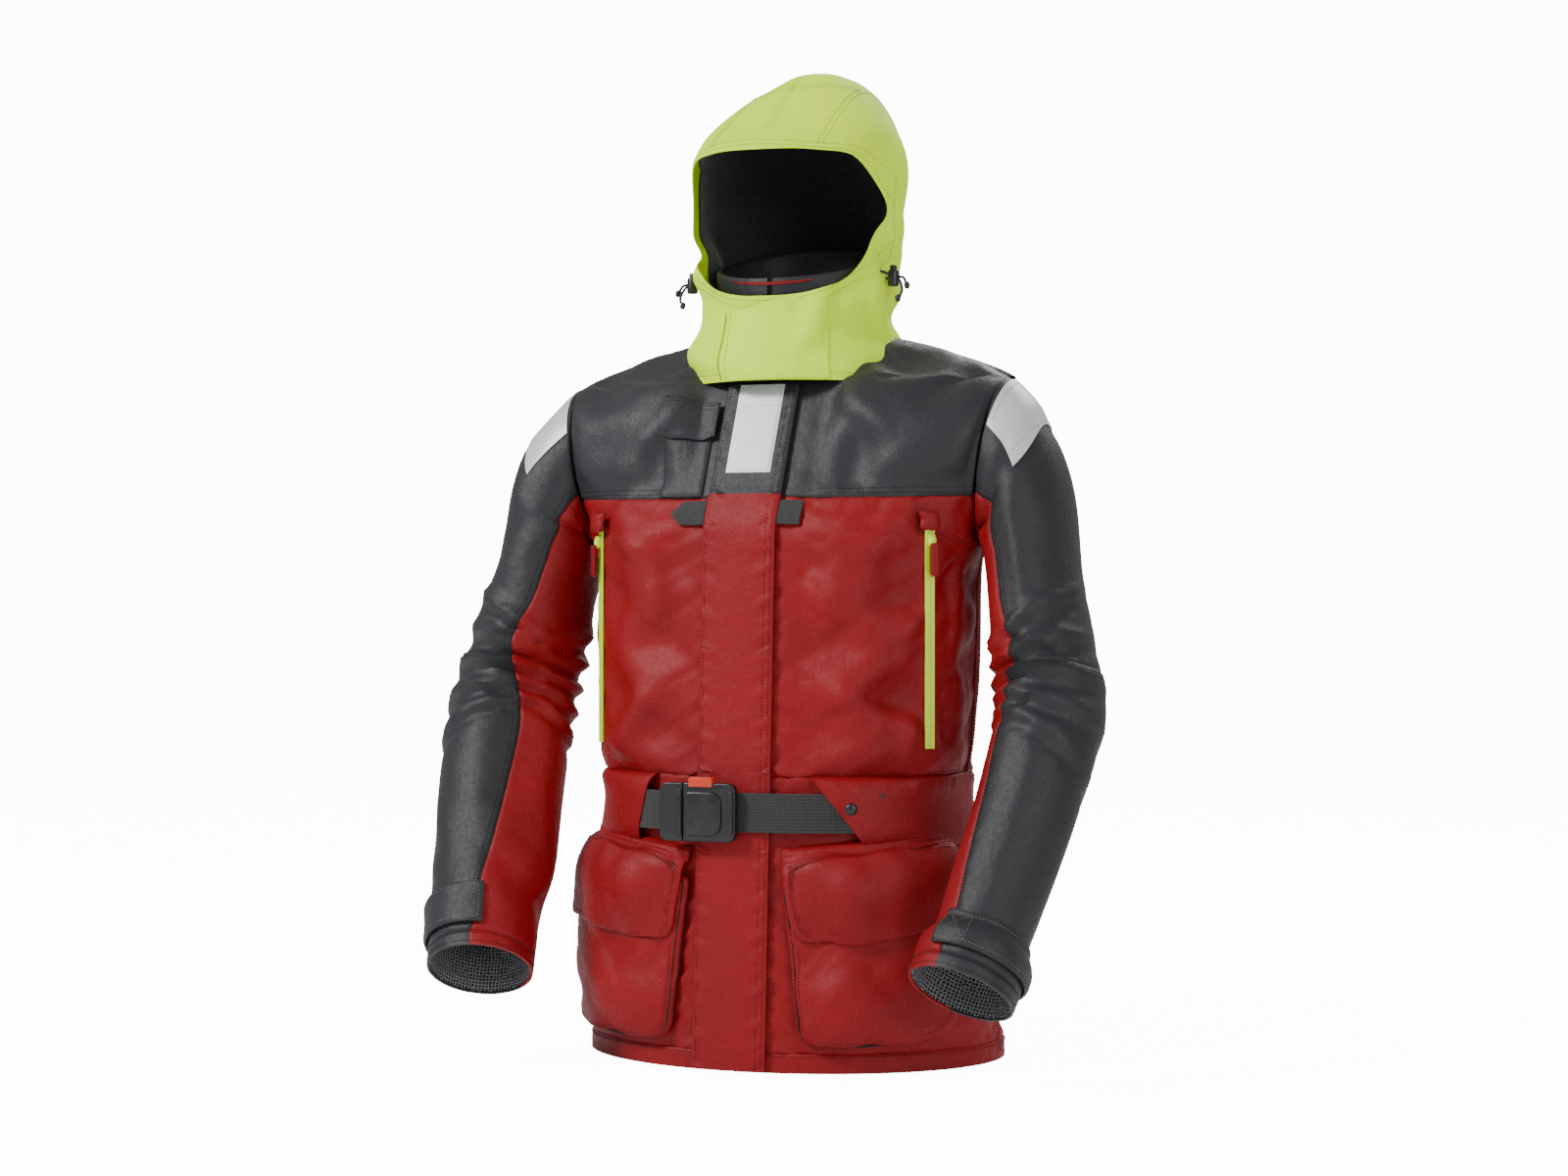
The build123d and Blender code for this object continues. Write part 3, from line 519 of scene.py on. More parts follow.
FRONT_FOLDS = [
    ((0.70, 600), (0.34, 520), 11, 4.5), ((0.76, 545), (0.46, 440), 12, 5.0),
    ((0.26, 400), (0.62, 325), 12, 4.0), ((0.60, 420), (0.70, 320), 9, 4.5),
    ((-0.30, 520), (-0.62, 600), 11, 4.5), ((-0.30, 400), (-0.55, 322), 12, 4.5),
    ((-0.34, 560), (-0.30, 430), 12, 3.5), ((0.28, 560), (0.24, 430), 12, 3.0),
    ((0.36, 212), (0.30, 60), 14, 4.0), ((-0.36, 212), (-0.30, 60), 14, 4.0),
    ((0.30, 700), (0.62, 640), 12, 3.5), ((-0.30, 700), (-0.62, 640), 12, 3.5),
]
BACK_FOLDS = [
    ((0.70, 610), (0.25, 500), 14, 5.5), ((-0.70, 610), (-0.25, 500), 14, 5.5),
    ((0.12, 540), (0.08, 330), 16, 4.0), ((-0.2, 430), (-0.28, 310), 14, 4.5),
    ((0.45, 420), (0.36, 308), 12, 5.0), ((-0.55, 420), (-0.48, 308), 12, 5.0),
    ((0.5, 222), (0.56, 60), 16, 5.0), ((-0.45, 222), (-0.52, 60), 16, 5.0),
    ((0.05, 222), (0.02, 60), 18, 4.0),
]
# angle at its top, top's run, length, lean, height
HOOD_RIDGES = [
    (62, 150, 120, 0.5, 4.6), (40, 120, 90, -0.5, 3.6), (-58, 140, 100, -0.3, 4.2),
    (105, 190, 150, 0.35, 4.6), (-100, 180, 130, -0.4, 4.4), (150, 160, 110, 0.4, 4.4),
]
HOOD_FOLD_GAIN = 1.5


def hood_folds():
    """Slack cloth round the neck and cheeks, and a crown that keeps its seams."""
    angle, run = HEAD.places()
    turn = np.radians(angle)
    slack = near(run, 75, 55, 60)
    wave = np.sin(run / 11.5 + 1.7 * np.sin(2 * turn + 0.6)) + 0.5 * np.sin(run / 6.8 + 3 * turn)
    push = 2.6 * slack * wave * (0.35 + 0.65 * np.abs(np.sin(turn)))
    push += 7.0 * near(run, 0, 12, 62) - 3.5 * near(run, 92, 14, 40)
    for side, start, drop, lean, size in HOOD_RIDGES:
        ridge = np.abs((angle + 180) % 360 - 180 - side - lean * (start - run) * 0.4)
        push += size * near(ridge, 0, 1, 11) * near(run, start - drop / 2, drop / 4, drop / 3)
    cheek = near(run, 185, 60, 60)
    push += 2.4 * cheek * np.sin(run / 30 + 3 * turn)
    push += 2.0 * near(run, 330, 70, 50) * np.sin(3.2 * turn + run / 60)
    HEAD.push(HOOD_FOLD_GAIN * push * smoothstep((HOOD_TOP - run) / 60))


def swell_to_zips():
    """Brings the cloth beside each chest zip out to the zip's straight line."""
    across, run = FRONT.places()
    place = FRONT.point(across, run)
    facing = FRONT.normal(across, run)
    gap = (np.abs(place[..., 0]) - CHEST_ZIP_X) * facing[..., 0] * np.sign(place[..., 0])
    gap = (CHEST_ZIP_Y - place[..., 1]) * facing[..., 1] - gap
    rise = np.clip(gap + 3.0, -9, 18)
    beside = near(np.abs(place[..., 0]), CHEST_ZIP_X, 9, 24)
    along = near(run, CHEST_ZIP_MIDDLE, 112, 60)
    FRONT.push(rise * beside * along)


def settle_cloth():
    """Drapes the torso and the sleeves, then adds the folds that are drawn."""
    drape(FRONT, held_on_torso(FRONT, True))
    drape(BACK, held_on_torso(BACK, False))
    for arm in ARMS.values():
        drape(arm, held_on_arm(arm))
    long_folds(FRONT, FRONT_FOLDS)
    long_folds(BACK, BACK_FOLDS)
    swell_to_zips()
    for arm in ARMS.values():
        crook_creases(arm)
    hood_folds()


def front_across(x, run):
    """The across value of the front surface at a given x."""
    x, run = np.broadcast_arrays(np.asarray(x, float), np.asarray(run, float))
    low, high = np.zeros_like(x), np.ones_like(x)
    for _ in range(24):
        mid = (low + high) / 2
        beyond = FRONT.base(mid, run)[..., 0] > np.abs(x)
        high = np.where(beyond, mid, high)
        low = np.where(beyond, low, mid)
    return np.where(x < 0, -1, 1) * (low + high) / 2


# ---- meshes -------------------------------------------------------------------------------
def mesh_from(name, vertices, faces):
    """A new mesh from vertices in metres."""
    mesh = bpy.data.meshes.new(name)
    mesh.from_pydata(vertices, [], faces)
    return mesh


def smooth(mesh, sharp_angle):
    """Shades a mesh smoothly, except where faces meet at more than an angle."""
    mesh.shade_smooth()
    mesh.set_sharp_from_angle(angle=math.radians(sharp_angle))


def link(name, mesh, material):
    """A mesh as a piece of the scene, with one material."""
    mesh.materials.append(material)
    piece = bpy.data.objects.new(name, mesh)
    bpy.context.scene.collection.objects.link(piece)
    return piece


def metric_uv(points):
    """Lengths along rows and columns, in metres, as a weave's coordinates."""
    across = np.concatenate([[0], np.cumsum(np.linalg.norm(np.diff(points, axis=1), axis=-1).mean(axis=0))])
    up = np.concatenate([[0], np.cumsum(np.linalg.norm(np.diff(points, axis=0), axis=-1).mean(axis=1))])
    grid = np.meshgrid(across * MM, up * MM)
    return np.stack(grid, axis=-1)


def sheet(name, points, normals, thickness, paint, closed=False):
    """A cloth sheet from a grid of outer points; closed joins the last column to the first."""
    rows, columns = points.shape[:2]
    outer = points.reshape(-1, 3)
    inner = (points - normals * thickness).reshape(-1, 3)
    count = rows * columns
    index = np.arange(count).reshape(rows, columns)
    uv = metric_uv(points).reshape(-1, 2)
    if closed:
        index = np.concatenate([index, index[:, :1]], axis=1)
    a, b = index[:-1, :-1].ravel(), index[:-1, 1:].ravel()
    c, d = index[1:, 1:].ravel(), index[1:, :-1].ravel()
    faces = [np.stack([a, b, c, d], 1), np.stack([d, c, b, a], 1) + count]
    borders = [(index[0, 1:], index[0, :-1]), (index[-1, :-1], index[-1, 1:])]
    if not closed:
        borders += [(index[:-1, 0], index[1:, 0]), (index[1:, -1], index[:-1, -1])]
    for one, two in borders:
        faces.append(np.stack([one, two, two + count, one + count], 1))
    faces = np.concatenate(faces)
    corner, beside, _, above = faces[0]
    facing = np.cross(outer[beside] - outer[corner], outer[above] - outer[corner])
    if facing @ normals.reshape(-1, 3)[corner] < 0:
        faces = faces[:, ::-1]
    vertices = np.concatenate([outer, inner]) * MM
    mesh = mesh_from(name, vertices.tolist(), faces.tolist())
    layer = mesh.uv_layers.new(name="cloth")
    corner_vertex = np.zeros(len(mesh.loops), dtype=np.int32)
    mesh.loops.foreach_get("vertex_index", corner_vertex)
    layer.data.foreach_set("uv", np.concatenate([uv, uv])[corner_vertex].ravel())
    smooth(mesh, 50)
    return link(name, mesh, PAINT[paint])


def edge_distance(points):
    """Distance of each grid point from the grid's four borders: left, right, bottom, top."""
    steps = np.linalg.norm(np.diff(points, axis=1), axis=-1)
    left = np.concatenate([np.zeros((len(points), 1)), np.cumsum(steps, axis=1)], axis=1)
    right = left[:, -1:] - left
    steps = np.linalg.norm(np.diff(points, axis=0), axis=-1)
    bottom = np.concatenate([np.zeros((1, points.shape[1])), np.cumsum(steps, axis=0)], axis=0)
    top = bottom[-1:] - bottom
    return left, right, bottom, top


def tucked(points, normals, edges="lrbt", depth=1.6, reach=4.0, pucker=0.5, seed=1):
    """Rolls the named edges inwards as a sewn seam does, and puckers the cloth beside them."""
    distances = dict(zip("lrbt", edge_distance(points)))
    offset = np.zeros(points.shape[:2])
    for i, edge in enumerate("lrbt"):
        if edge not in edges:
            continue
        away = distances[edge]
        along = distances["b" if edge in "lr" else "l"]
        offset -= depth * np.clip(1 - away / reach, 0, 1) ** 2
        ridge = np.exp(-((away - 9) / 8) ** 2)
        offset += pucker * ridge * ripple(along + away * 0.6, seed + i)
    return points + normals * offset[..., None]


def panel(name, surface, across_low, across_high, run_low, run_high, paint, cell=5.0, lift=0.0,
          thickness=1.8, edges="lrbt", depth=1.6, pucker=0.5, seed=1):
    """A cloth panel between two across limits (numbers or functions of run) and two run limits."""
    rows = max(3, int(abs(run_high - run_low) / cell))
    fractions = graded(rows)
    run = (run_low + (run_high - run_low) * fractions)[:, None]
    low = across_low(run) if callable(across_low) else np.full_like(run, across_low)
    high = across_high(run) if callable(across_high) else np.full_like(run, across_high)
    half_width = np.linalg.norm(surface.point(low, run) - surface.point((low + high) / 2, run), axis=-1).max()
    width = half_width * 2
    across = low + (high - low) * graded(max(3, int(width / cell)))[None, :]
    run = np.broadcast_to(run, across.shape)
    normals = surface.normal(across, run)
    if callable(lift):
        lift = lift(graded(across.shape[1] - 7)[None, :], fractions[:, None])[..., None]
    points = surface.point(across, run) + normals * lift
    points = tucked(points, normals, edges, depth, 4.0, pucker, seed)
    return sheet(name, points, normals, thickness, paint)


def front_panel(name, x_low, x_high, z_low, z_high, paint, lift, **settings):
    """A panel on the torso's front between x and z limits."""
    def edge(x):
        return lambda run: front_across(np.full_like(run, x), run)

    return panel(name, FRONT, edge(x_low), edge(x_high), run_at_height(z_low), run_at_height(z_high),
                 paint, lift=lift, **settings)


def merge(name, pieces):
    """Joins pieces into the first one."""
    bpy.ops.object.select_all(action="DESELECT")
    for piece in pieces:
        piece.select_set(True)
    bpy.context.view_layer.objects.active = pieces[0]
    bpy.ops.object.join()
    pieces[0].name = name
    return pieces[0]


# ---- materials ----------------------------------------------------------------------------
class Paint:
    """A procedural material's node tree, with short calls for the nodes used here."""

    def __init__(self, name):
        self.material = bpy.data.materials.new(name)
        self.material.use_nodes = True
        self.tree = self.material.node_tree
        self.shader = self.tree.nodes["Principled BSDF"]

    def node(self, kind, inputs=(), **settings):
        made = self.tree.nodes.new(kind)
        for key, value in settings.items():
            setattr(made, key, value)
        for key, value in dict(inputs).items():
            self.put(made.inputs[key], value)
        return made

    def put(self, socket, value):
        if isinstance(value, bpy.types.NodeSocket):
            self.tree.links.new(value, socket)
        else:
            socket.default_value = value

    def set(self, **inputs):
        for key, value in inputs.items():
            self.put(self.shader.inputs[key.replace("_", " ")], value)

    def place(self, kind="Object"):
        return self.node("ShaderNodeTexCoord").outputs[kind]

    def noise(self, where, scale, detail=3.0, rough=0.55):
        inputs = {"Vector": where, "Scale": scale, "Detail": detail, "Roughness": rough}
        return self.node("ShaderNodeTexNoise", inputs).outputs["Fac"]

    def ramp(self, value, low, high, low_value=0.0, high_value=1.0):
        inputs = {"Value": value, "From Min": low, "From Max": high,
                  "To Min": low_value, "To Max": high_value}
        return self.node("ShaderNodeMapRange", inputs).outputs["Result"]

    def mix(self, factor, one, two):
        made = self.node("ShaderNodeMix", data_type="RGBA")
        for socket, value in ((made.inputs[0], factor), (made.inputs[6], one), (made.inputs[7], two)):
            self.put(socket, value)
        return made.outputs[2]

    def math(self, operation, one, two=0.0):
        return self.node("ShaderNodeMath", {0: one, 1: two}, operation=operation).outputs[0]

    def threads(self, pitch):
        """Plain weave: threads crossing at a pitch in metres, over the cloth's own lengths."""
        split = self.node("ShaderNodeSeparateXYZ", {0: self.place("UV")})
        return self.math("MULTIPLY", *(self.wave(split.outputs[i], pitch) for i in (0, 1)))

    def wave(self, along, pitch):
        """A sine wave of a pitch in metres."""
        return self.math("SINE", self.math("MULTIPLY", along, 2 * math.pi / pitch))

    def bump(self, height, strength, distance, below=None):
        inputs = {"Height": height, "Strength": strength, "Distance": distance}
        if below is not None:
            inputs["Normal"] = below
        return self.node("ShaderNodeBump", inputs).outputs["Normal"]


def colour(red, green, blue):
    return (red, green, blue, 1.0)


def shade(base, factor):
    return tuple(min(1.0, channel * factor) for channel in base[:3]) + (1.0,)


def woven(name, base, roughness, pitch=0.0009, sheen=0.0, crumple=0.35, variation=0.12, shine=0.3):
    """Coated woven cloth: fine weave, soft crumples and slow changes of tone."""
    paint = Paint(name)
    where = paint.place()
    cloud = paint.noise(where, 9.0)
    fine = paint.noise(where, 220.0, 2.0)
    tone = paint.mix(paint.ramp(cloud, 0.3, 0.7), shade(base, 1 - variation), shade(base, 1 + variation))
    tone = paint.mix(paint.ramp(fine, 0.35, 0.65, 0.0, 0.35), tone, shade(base, 0.82))
    soft = paint.bump(paint.noise(where, 38.0, 4.0, 0.6), crumple, 0.0022)
    grain = paint.bump(paint.noise(where, 420.0, 2.0), 0.25, 0.0003, soft)
    weave = paint.bump(paint.threads(pitch), 0.3, 0.00012, grain)
    paint.set(Base_Color=tone, Roughness=paint.ramp(fine, 0.3, 0.7, roughness - 0.05, roughness + 0.07),
              Normal=weave, Sheen_Weight=sheen, Sheen_Roughness=0.4, Specular_IOR_Level=shine)
    return paint.material


def plastic(name, base, roughness=0.38):
    """Moulded plastic with a fine grain and faint scuffs."""
    paint = Paint(name)
    where = paint.place()
    texture = paint.bump(paint.noise(where, 900.0, 2.0), 0.12, 0.0002)
    scuff = paint.ramp(paint.noise(where, 60.0), 0.45, 0.7, roughness - 0.06, roughness + 0.12)
    paint.set(Base_Color=base, Roughness=scuff, Normal=texture)
    return paint.material


def webbing(name, base):
    """Woven tape with ribs across its length, with painted shade in the grooves between the ribs and painted
    highlight on their tops.
    """
    paint = Paint(name)
    split = paint.node("ShaderNodeSeparateXYZ", {0: paint.place("UV")})
    ribs = paint.wave(split.outputs[0], 0.0022)
    rows = paint.wave(split.outputs[1], 0.0034)
    weave = paint.bump(paint.math("ADD", ribs, rows), 0.6, 0.0004)
    # Painted shade and highlight: the tone follows the ribs' wave, darker in the grooves and lighter on the
    # rib tops.
    tone = paint.mix(paint.ramp(ribs, -1, 1), shade(base, 0.6), shade(base, 1.5))
    paint.set(Base_Color=tone, Roughness=0.72, Normal=weave, Sheen_Weight=0.2)
    return paint.material


def reflective(name):
    """Glass bead tape: pale grey, faintly crosshatched."""
    paint = Paint(name)
    where = paint.place()
    beads = paint.noise(where, 1400.0, 1.0)
    cloud = paint.ramp(paint.noise(where, 14.0), 0.3, 0.7)
    tone = paint.mix(cloud, colour(0.52, 0.55, 0.57), colour(0.62, 0.65, 0.66))
    tone = paint.mix(paint.ramp(beads, 0.3, 0.7, 0.0, 0.25), tone, colour(0.40, 0.42, 0.44))
    paint.set(Base_Color=tone, Roughness=0.42, Metallic=0.15, Normal=paint.bump(beads, 0.15, 0.0002))
    return paint.material


def fleece(name):
    """Matt black pile."""
    paint = Paint(name)
    fluff = paint.noise(paint.place(), 300.0, 6.0, 0.75)
    tone = paint.mix(paint.ramp(fluff, 0.3, 0.7), colour(0.006, 0.006, 0.007), colour(0.022, 0.022, 0.024))
    paint.set(Base_Color=tone, Roughness=0.95, Normal=paint.bump(fluff, 0.7, 0.001), Sheen_Weight=0.3)
    return paint.material


def open_mesh(name):
    """Open mesh lining: pale threads round holes that are painted near black, as painted shade seen through
    them.
    """
    paint = Paint(name)
    inputs = {"Vector": paint.place("UV"), "Scale": 260.0, "Randomness": 0.35}
    cells = paint.node("ShaderNodeTexVoronoi", inputs, feature="DISTANCE_TO_EDGE")
    thread = paint.ramp(cells.outputs["Distance"], 0.10, 0.16, 1.0, 0.0)
    # Painted shade: the holes between the threads are painted near black for the darkness seen through them.
    tone = paint.mix(thread, colour(0.012, 0.012, 0.014), colour(0.26, 0.27, 0.28))
    paint.set(Base_Color=tone, Roughness=0.7, Normal=paint.bump(thread, 0.5, 0.0004))
    return paint.material


def thread(name, base):
    return woven(name, base, 0.6, crumple=0.1)


def paint_all():
    return {
        "red": woven("red_nylon", colour(0.225, 0.0030, 0.006), 0.50, crumple=0.8, shine=0.24),
        "dark": woven("charcoal_nylon", colour(0.020, 0.0205, 0.024), 0.46, crumple=0.8, shine=0.30),
        "lime": woven("lime_polyester", colour(0.66, 1.0, 0.014), 0.66, crumple=0.8, variation=0.07,
                      shine=0.12),
        "fleece": fleece("black_fleece"),
        "mesh": open_mesh("mesh_lining"),
        "foam": woven("foam_cover", colour(0.5, 0.5, 0.47), 0.8),
        "tape": reflective("reflective_tape"),
        "webbing": webbing("black_webbing", colour(0.011, 0.011, 0.012)),
        "plastic": plastic("black_plastic", colour(0.009, 0.009, 0.011)),
        "orange": plastic("orange_plastic", colour(0.55, 0.035, 0.010), 0.42),
        "zip": plastic("lime_zip", colour(0.62, 0.84, 0.02), 0.45),
        "red_thread": thread("red_thread", colour(0.12, 0.003, 0.004)),
        "dark_thread": thread("charcoal_thread", colour(0.010, 0.010, 0.012)),
        # Dark lime thread; it also draws the painted shadow line along the chin tab's free edge.
        "lime_thread": thread("lime_thread", colour(0.22, 0.34, 0.015)),
        "tape_thread": thread("grey_thread", colour(0.16, 0.165, 0.17)),
        "lining_tape": woven("black_lining", colour(0.008, 0.008, 0.009), 0.7, crumple=0.1),
        "snap": plastic("snap_lacquer", colour(0.010, 0.010, 0.012), 0.28),
    }


PAINT = paint_all()


def attach(piece, to, *nodes, slot=None):
    """Puts a piece on a body and hides the CAD nodes it stands for. The slot argument is not used.

    A hinge in place of the body (two bodies, then the places where the bend starts and ends) leaves the piece
    fixed where it is; nothing bends it.
    """
    if isinstance(to, str):
        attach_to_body(piece, to)
    else:
        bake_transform(piece)
    if nodes:
        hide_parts(*nodes)


def sew(name, rows, paint, to, slot=None, **settings):
    """Rows of stitches on a body or a hinge."""
    attach(stitches(name, rows, paint, **settings), to, slot=slot)


def at(*millimetres):
    return tuple(c * MM for c in millimetres)


# ---- stitches, patches and turned pieces --------------------------------------------------
STITCH_PITCH, STITCH_HALF_LENGTH, STITCH_HALF_WIDTH = 3.6, 1.35, 0.5
LOZENGE = [[0, 4, 2], [0, 2, 5], [0, 5, 3], [0, 3, 4], [1, 2, 4], [1, 5, 2], [1, 3, 5], [1, 4, 3]]


def trail(surface, across, run, lift=0.5):
    """A line on a surface, as points and their normals."""
    across, run = np.broadcast_arrays(np.asarray(across, float), np.asarray(run, float))
    return surface.lifted(across, run, lift), surface.normal(across, run)


def front_trail(x, z, lift=0.5):
    """A line on the torso's front through places given by x and z."""
    x, z = np.broadcast_arrays(np.asarray(x, float), np.asarray(z, float))
    run = run_at_height(z)
    return trail(FRONT, front_across(x, run), run, lift)


def path_length(points):
    return np.linalg.norm(np.diff(points, axis=0), axis=-1).sum()


def along_path(points, shares):
    """Points at shares of a path's length."""
    steps = np.linalg.norm(np.diff(points, axis=0), axis=-1)
    length = np.concatenate([[0], np.cumsum(steps)])
    return np.stack([np.interp(shares * length[-1], length, column) for column in points.T], 1)


def stitches(name, rows, paint, pitch=STITCH_PITCH, size=1.0):
    """Rows of thread: each stitch a small raised lozenge along its row."""
    corners, faces = [], []
    shape = np.array(LOZENGE)
    for points, normals in rows:
        length = path_length(points)
        count = max(2, int(length / pitch))
        shares = (np.arange(count) + 0.5) / count
        place = along_path(points, shares)
        step = 0.4 / length
        ahead = unit(along_path(points, shares + step) - along_path(points, shares - step))
        even = np.linspace(0, 1, len(points))
        facing = unit(np.stack([np.interp(shares, even, column) for column in normals.T], 1))
        beside = np.cross(facing, ahead)
        tip = ahead * STITCH_HALF_LENGTH * size
        wide = beside * STITCH_HALF_WIDTH * size
        high = facing * STITCH_HALF_WIDTH * size
        lozenge = np.stack([place - tip - high, place + tip - high, place - wide, place + wide,
                            place + high, place - high * 1.6], 1)
        start = sum(len(c) for c in corners)
        corners.append(lozenge.reshape(-1, 3))
        faces.append((shape[None] + np.arange(count)[:, None, None] * 6 + start).reshape(-1, 3))
    mesh = mesh_from(name, (np.concatenate(corners) * MM).tolist(), np.concatenate(faces).tolist())
    mesh.shade_smooth()
    return link(name, mesh, PAINT[paint])


def on_front(name, x, z, lift, paint, thickness=2.0, depth=1.0, reach=3.0, pucker=0.3, seed=1):
    """A patch on the torso's front from grids of x and z."""
    run = run_at_height(z)
    across = front_across(x, run)
    normals = FRONT.normal(across, run)
    points = FRONT.lifted(across, run, lift)
    points = tucked(points, normals, "lrbt", depth, reach, pucker, seed)
    return sheet(name, points, normals, thickness, paint)


def soft_rectangle(half_width, half_height, top_corner, bottom_corner, cell=4.0):
    """Grids of u and v over an upright rectangle with rounded corners."""
    columns = graded(max(6, int(2 * half_width / cell))) * 2 - 1
    v = (graded(max(6, int(2 * half_height / cell))) * 2 - 1) * half_height

    def inset(radius, from_end):
        inside = np.clip(radius - from_end, 0, radius)
        return radius - np.sqrt(np.maximum(radius**2 - inside**2, 0))

    narrow = inset(bottom_corner, v + half_height) + inset(top_corner, half_height - v)
    return columns[None, :] * (half_width - narrow)[:, None], np.repeat(v[:, None], len(columns), axis=1)


def lathe(name, profile, centre, axis, paint, steps=28):
    """A turned piece: profile of (radius, distance along the axis) from one end to the other."""
    axis = Vector(axis).normalized()
    beside = axis.orthogonal().normalized()
    other = axis.cross(beside)
    vertices = []
    for radius, along in profile:
        for i in range(steps):
            turn = 2 * math.pi * i / steps
            spoke = beside * math.cos(turn) + other * math.sin(turn)
            vertices.append((Vector(centre) + axis * along + spoke * radius) * MM)
    faces = []
    for ring in range(len(profile) - 1):
        for i in range(steps):
            j = (i + 1) % steps
            faces.append([ring * steps + i, ring * steps + j, (ring + 1) * steps + j, (ring + 1) * steps + i])
    last = (len(profile) - 1) * steps
    faces += [list(range(steps))[::-1], list(range(last, last + steps))]
    mesh = mesh_from(name, vertices, faces)
    smooth(mesh, 40)
    return link(name, mesh, PAINT[paint])


def rounded(x, z, radii, steps=6):
    """A rectangle's outline; radii of the corners low x low z, high x low z, high x high z, low x high z."""
    outline = []
    for i, (cx, cz) in enumerate(((x[0], z[0]), (x[1], z[0]), (x[1], z[1]), (x[0], z[1]))):
        radius = radii[i]
        middle_x = cx + radius * (1 if cx == x[0] else -1)
        middle_z = cz + radius * (1 if cz == z[0] else -1)
        for k in range(steps + 1):
            turn = math.radians(180 + 90 * i + 90 * k / steps)
            outline.append((middle_x + radius * math.cos(turn), middle_z + radius * math.sin(turn)))
    return outline


def prism(name, outline, front, rear, paint):
    """A plate from an outline of (x, z) pairs, between two depths."""
    count = len(outline)
    vertices = [(x * MM, y * MM, z * MM) for y in (front, rear) for x, z in outline]
    faces = [[i, (i + 1) % count, count + (i + 1) % count, count + i] for i in range(count)]
    faces += [list(range(count))[::-1], list(range(count, 2 * count))]
    mesh = mesh_from(name, vertices, faces)
    mesh.validate()
    return link(name, mesh, PAINT[paint])


def cut_through(piece, cutter):
    """Takes a cutter's solid out of a piece, and removes the cutter."""
    cut = piece.modifiers.new("cut", "BOOLEAN")
    cut.operation = "DIFFERENCE"
    cut.object = cutter
    cut.solver = "EXACT"
    apply_modifiers(piece)
    bpy.data.objects.remove(cutter)


def moulded(name, x, z, radii, front, rear, bevel, holes=(), paint="plastic"):
    """A moulded plate facing -Y, with rectangular holes through it and softened edges."""
    piece = prism(name, rounded(x, z, radii), front, rear, paint)
    for hole_x, hole_z in holes:
        cut_through(piece, prism("hole", rounded(hole_x, hole_z, (1.2,) * 4, 3), front - 5, rear + 5, paint))
    soften = piece.modifiers.new("soften", "BEVEL")
    soften.width = bevel * MM
    soften.segments = 3
    soften.limit_method = "ANGLE"
    soften.angle_limit = math.radians(40)
    apply_modifiers(piece)
    smooth(piece.data, 35)
    return piece


def cord(name, points, radius, paint, sides=8):
    """A round cord through points."""
    knots = np.arange(len(points), dtype=float)
    centre = curve_through(knots, np.array(points, float), np.linspace(0, knots[-1], len(points) * 8))
    ahead = unit(np.gradient(centre, axis=0))
    beside = unit(np.cross(ahead, np.array([0.31, 0.17, 0.93])))
    other = np.cross(ahead, beside)
    turn = np.linspace(0, 2 * math.pi, sides + 1)[:-1][None, :, None]
    normals = beside[:, None] * np.cos(turn) + other[:, None] * np.sin(turn)
    return sheet(name, centre[:, None] + normals * radius, normals, radius * 0.9, paint, closed=True)


def apply_modifiers(piece):
    """Turns a piece's modifiers into its own mesh."""
    bpy.context.view_layer.update()
    graph = bpy.context.evaluated_depsgraph_get()
    mesh = bpy.data.meshes.new_from_object(piece.evaluated_get(graph))
    piece.modifiers.clear()
    piece.data = mesh


# ---- body panels --------------------------------------------------------------------------
HALF_OPENING = 9.0          # from the middle to each front panel's edge, under the storm flap
FRONT_WIDTH = 260.0         # of one front panel, roughly; places the creases beside the flap
HEM_OPENING = 0.006         # across value where the hem band starts beside the zip


def beside_flap(sign, height, seed):
    """Lift of a front panel: short creases where the storm flap's stitching gathers it."""
    def lift(s, t):
        away = FRONT_WIDTH * (s if sign > 0 else 1 - s)
        creases = ripple(t * height + 0.7 * away, seed, 24)
        return 2.0 * near(away, 38, 8, 36) * creases + 1.0 * ripple(t * height - 0.8 * away, seed + 1, 47)
    return lift


def side_ends(sign, opening):
    """Across limits of a front panel, low first: from its opening out to the side seam."""
    def edge(run):
        return np.full_like(run, float(sign))

    return (opening, edge) if sign > 0 else (edge, opening)


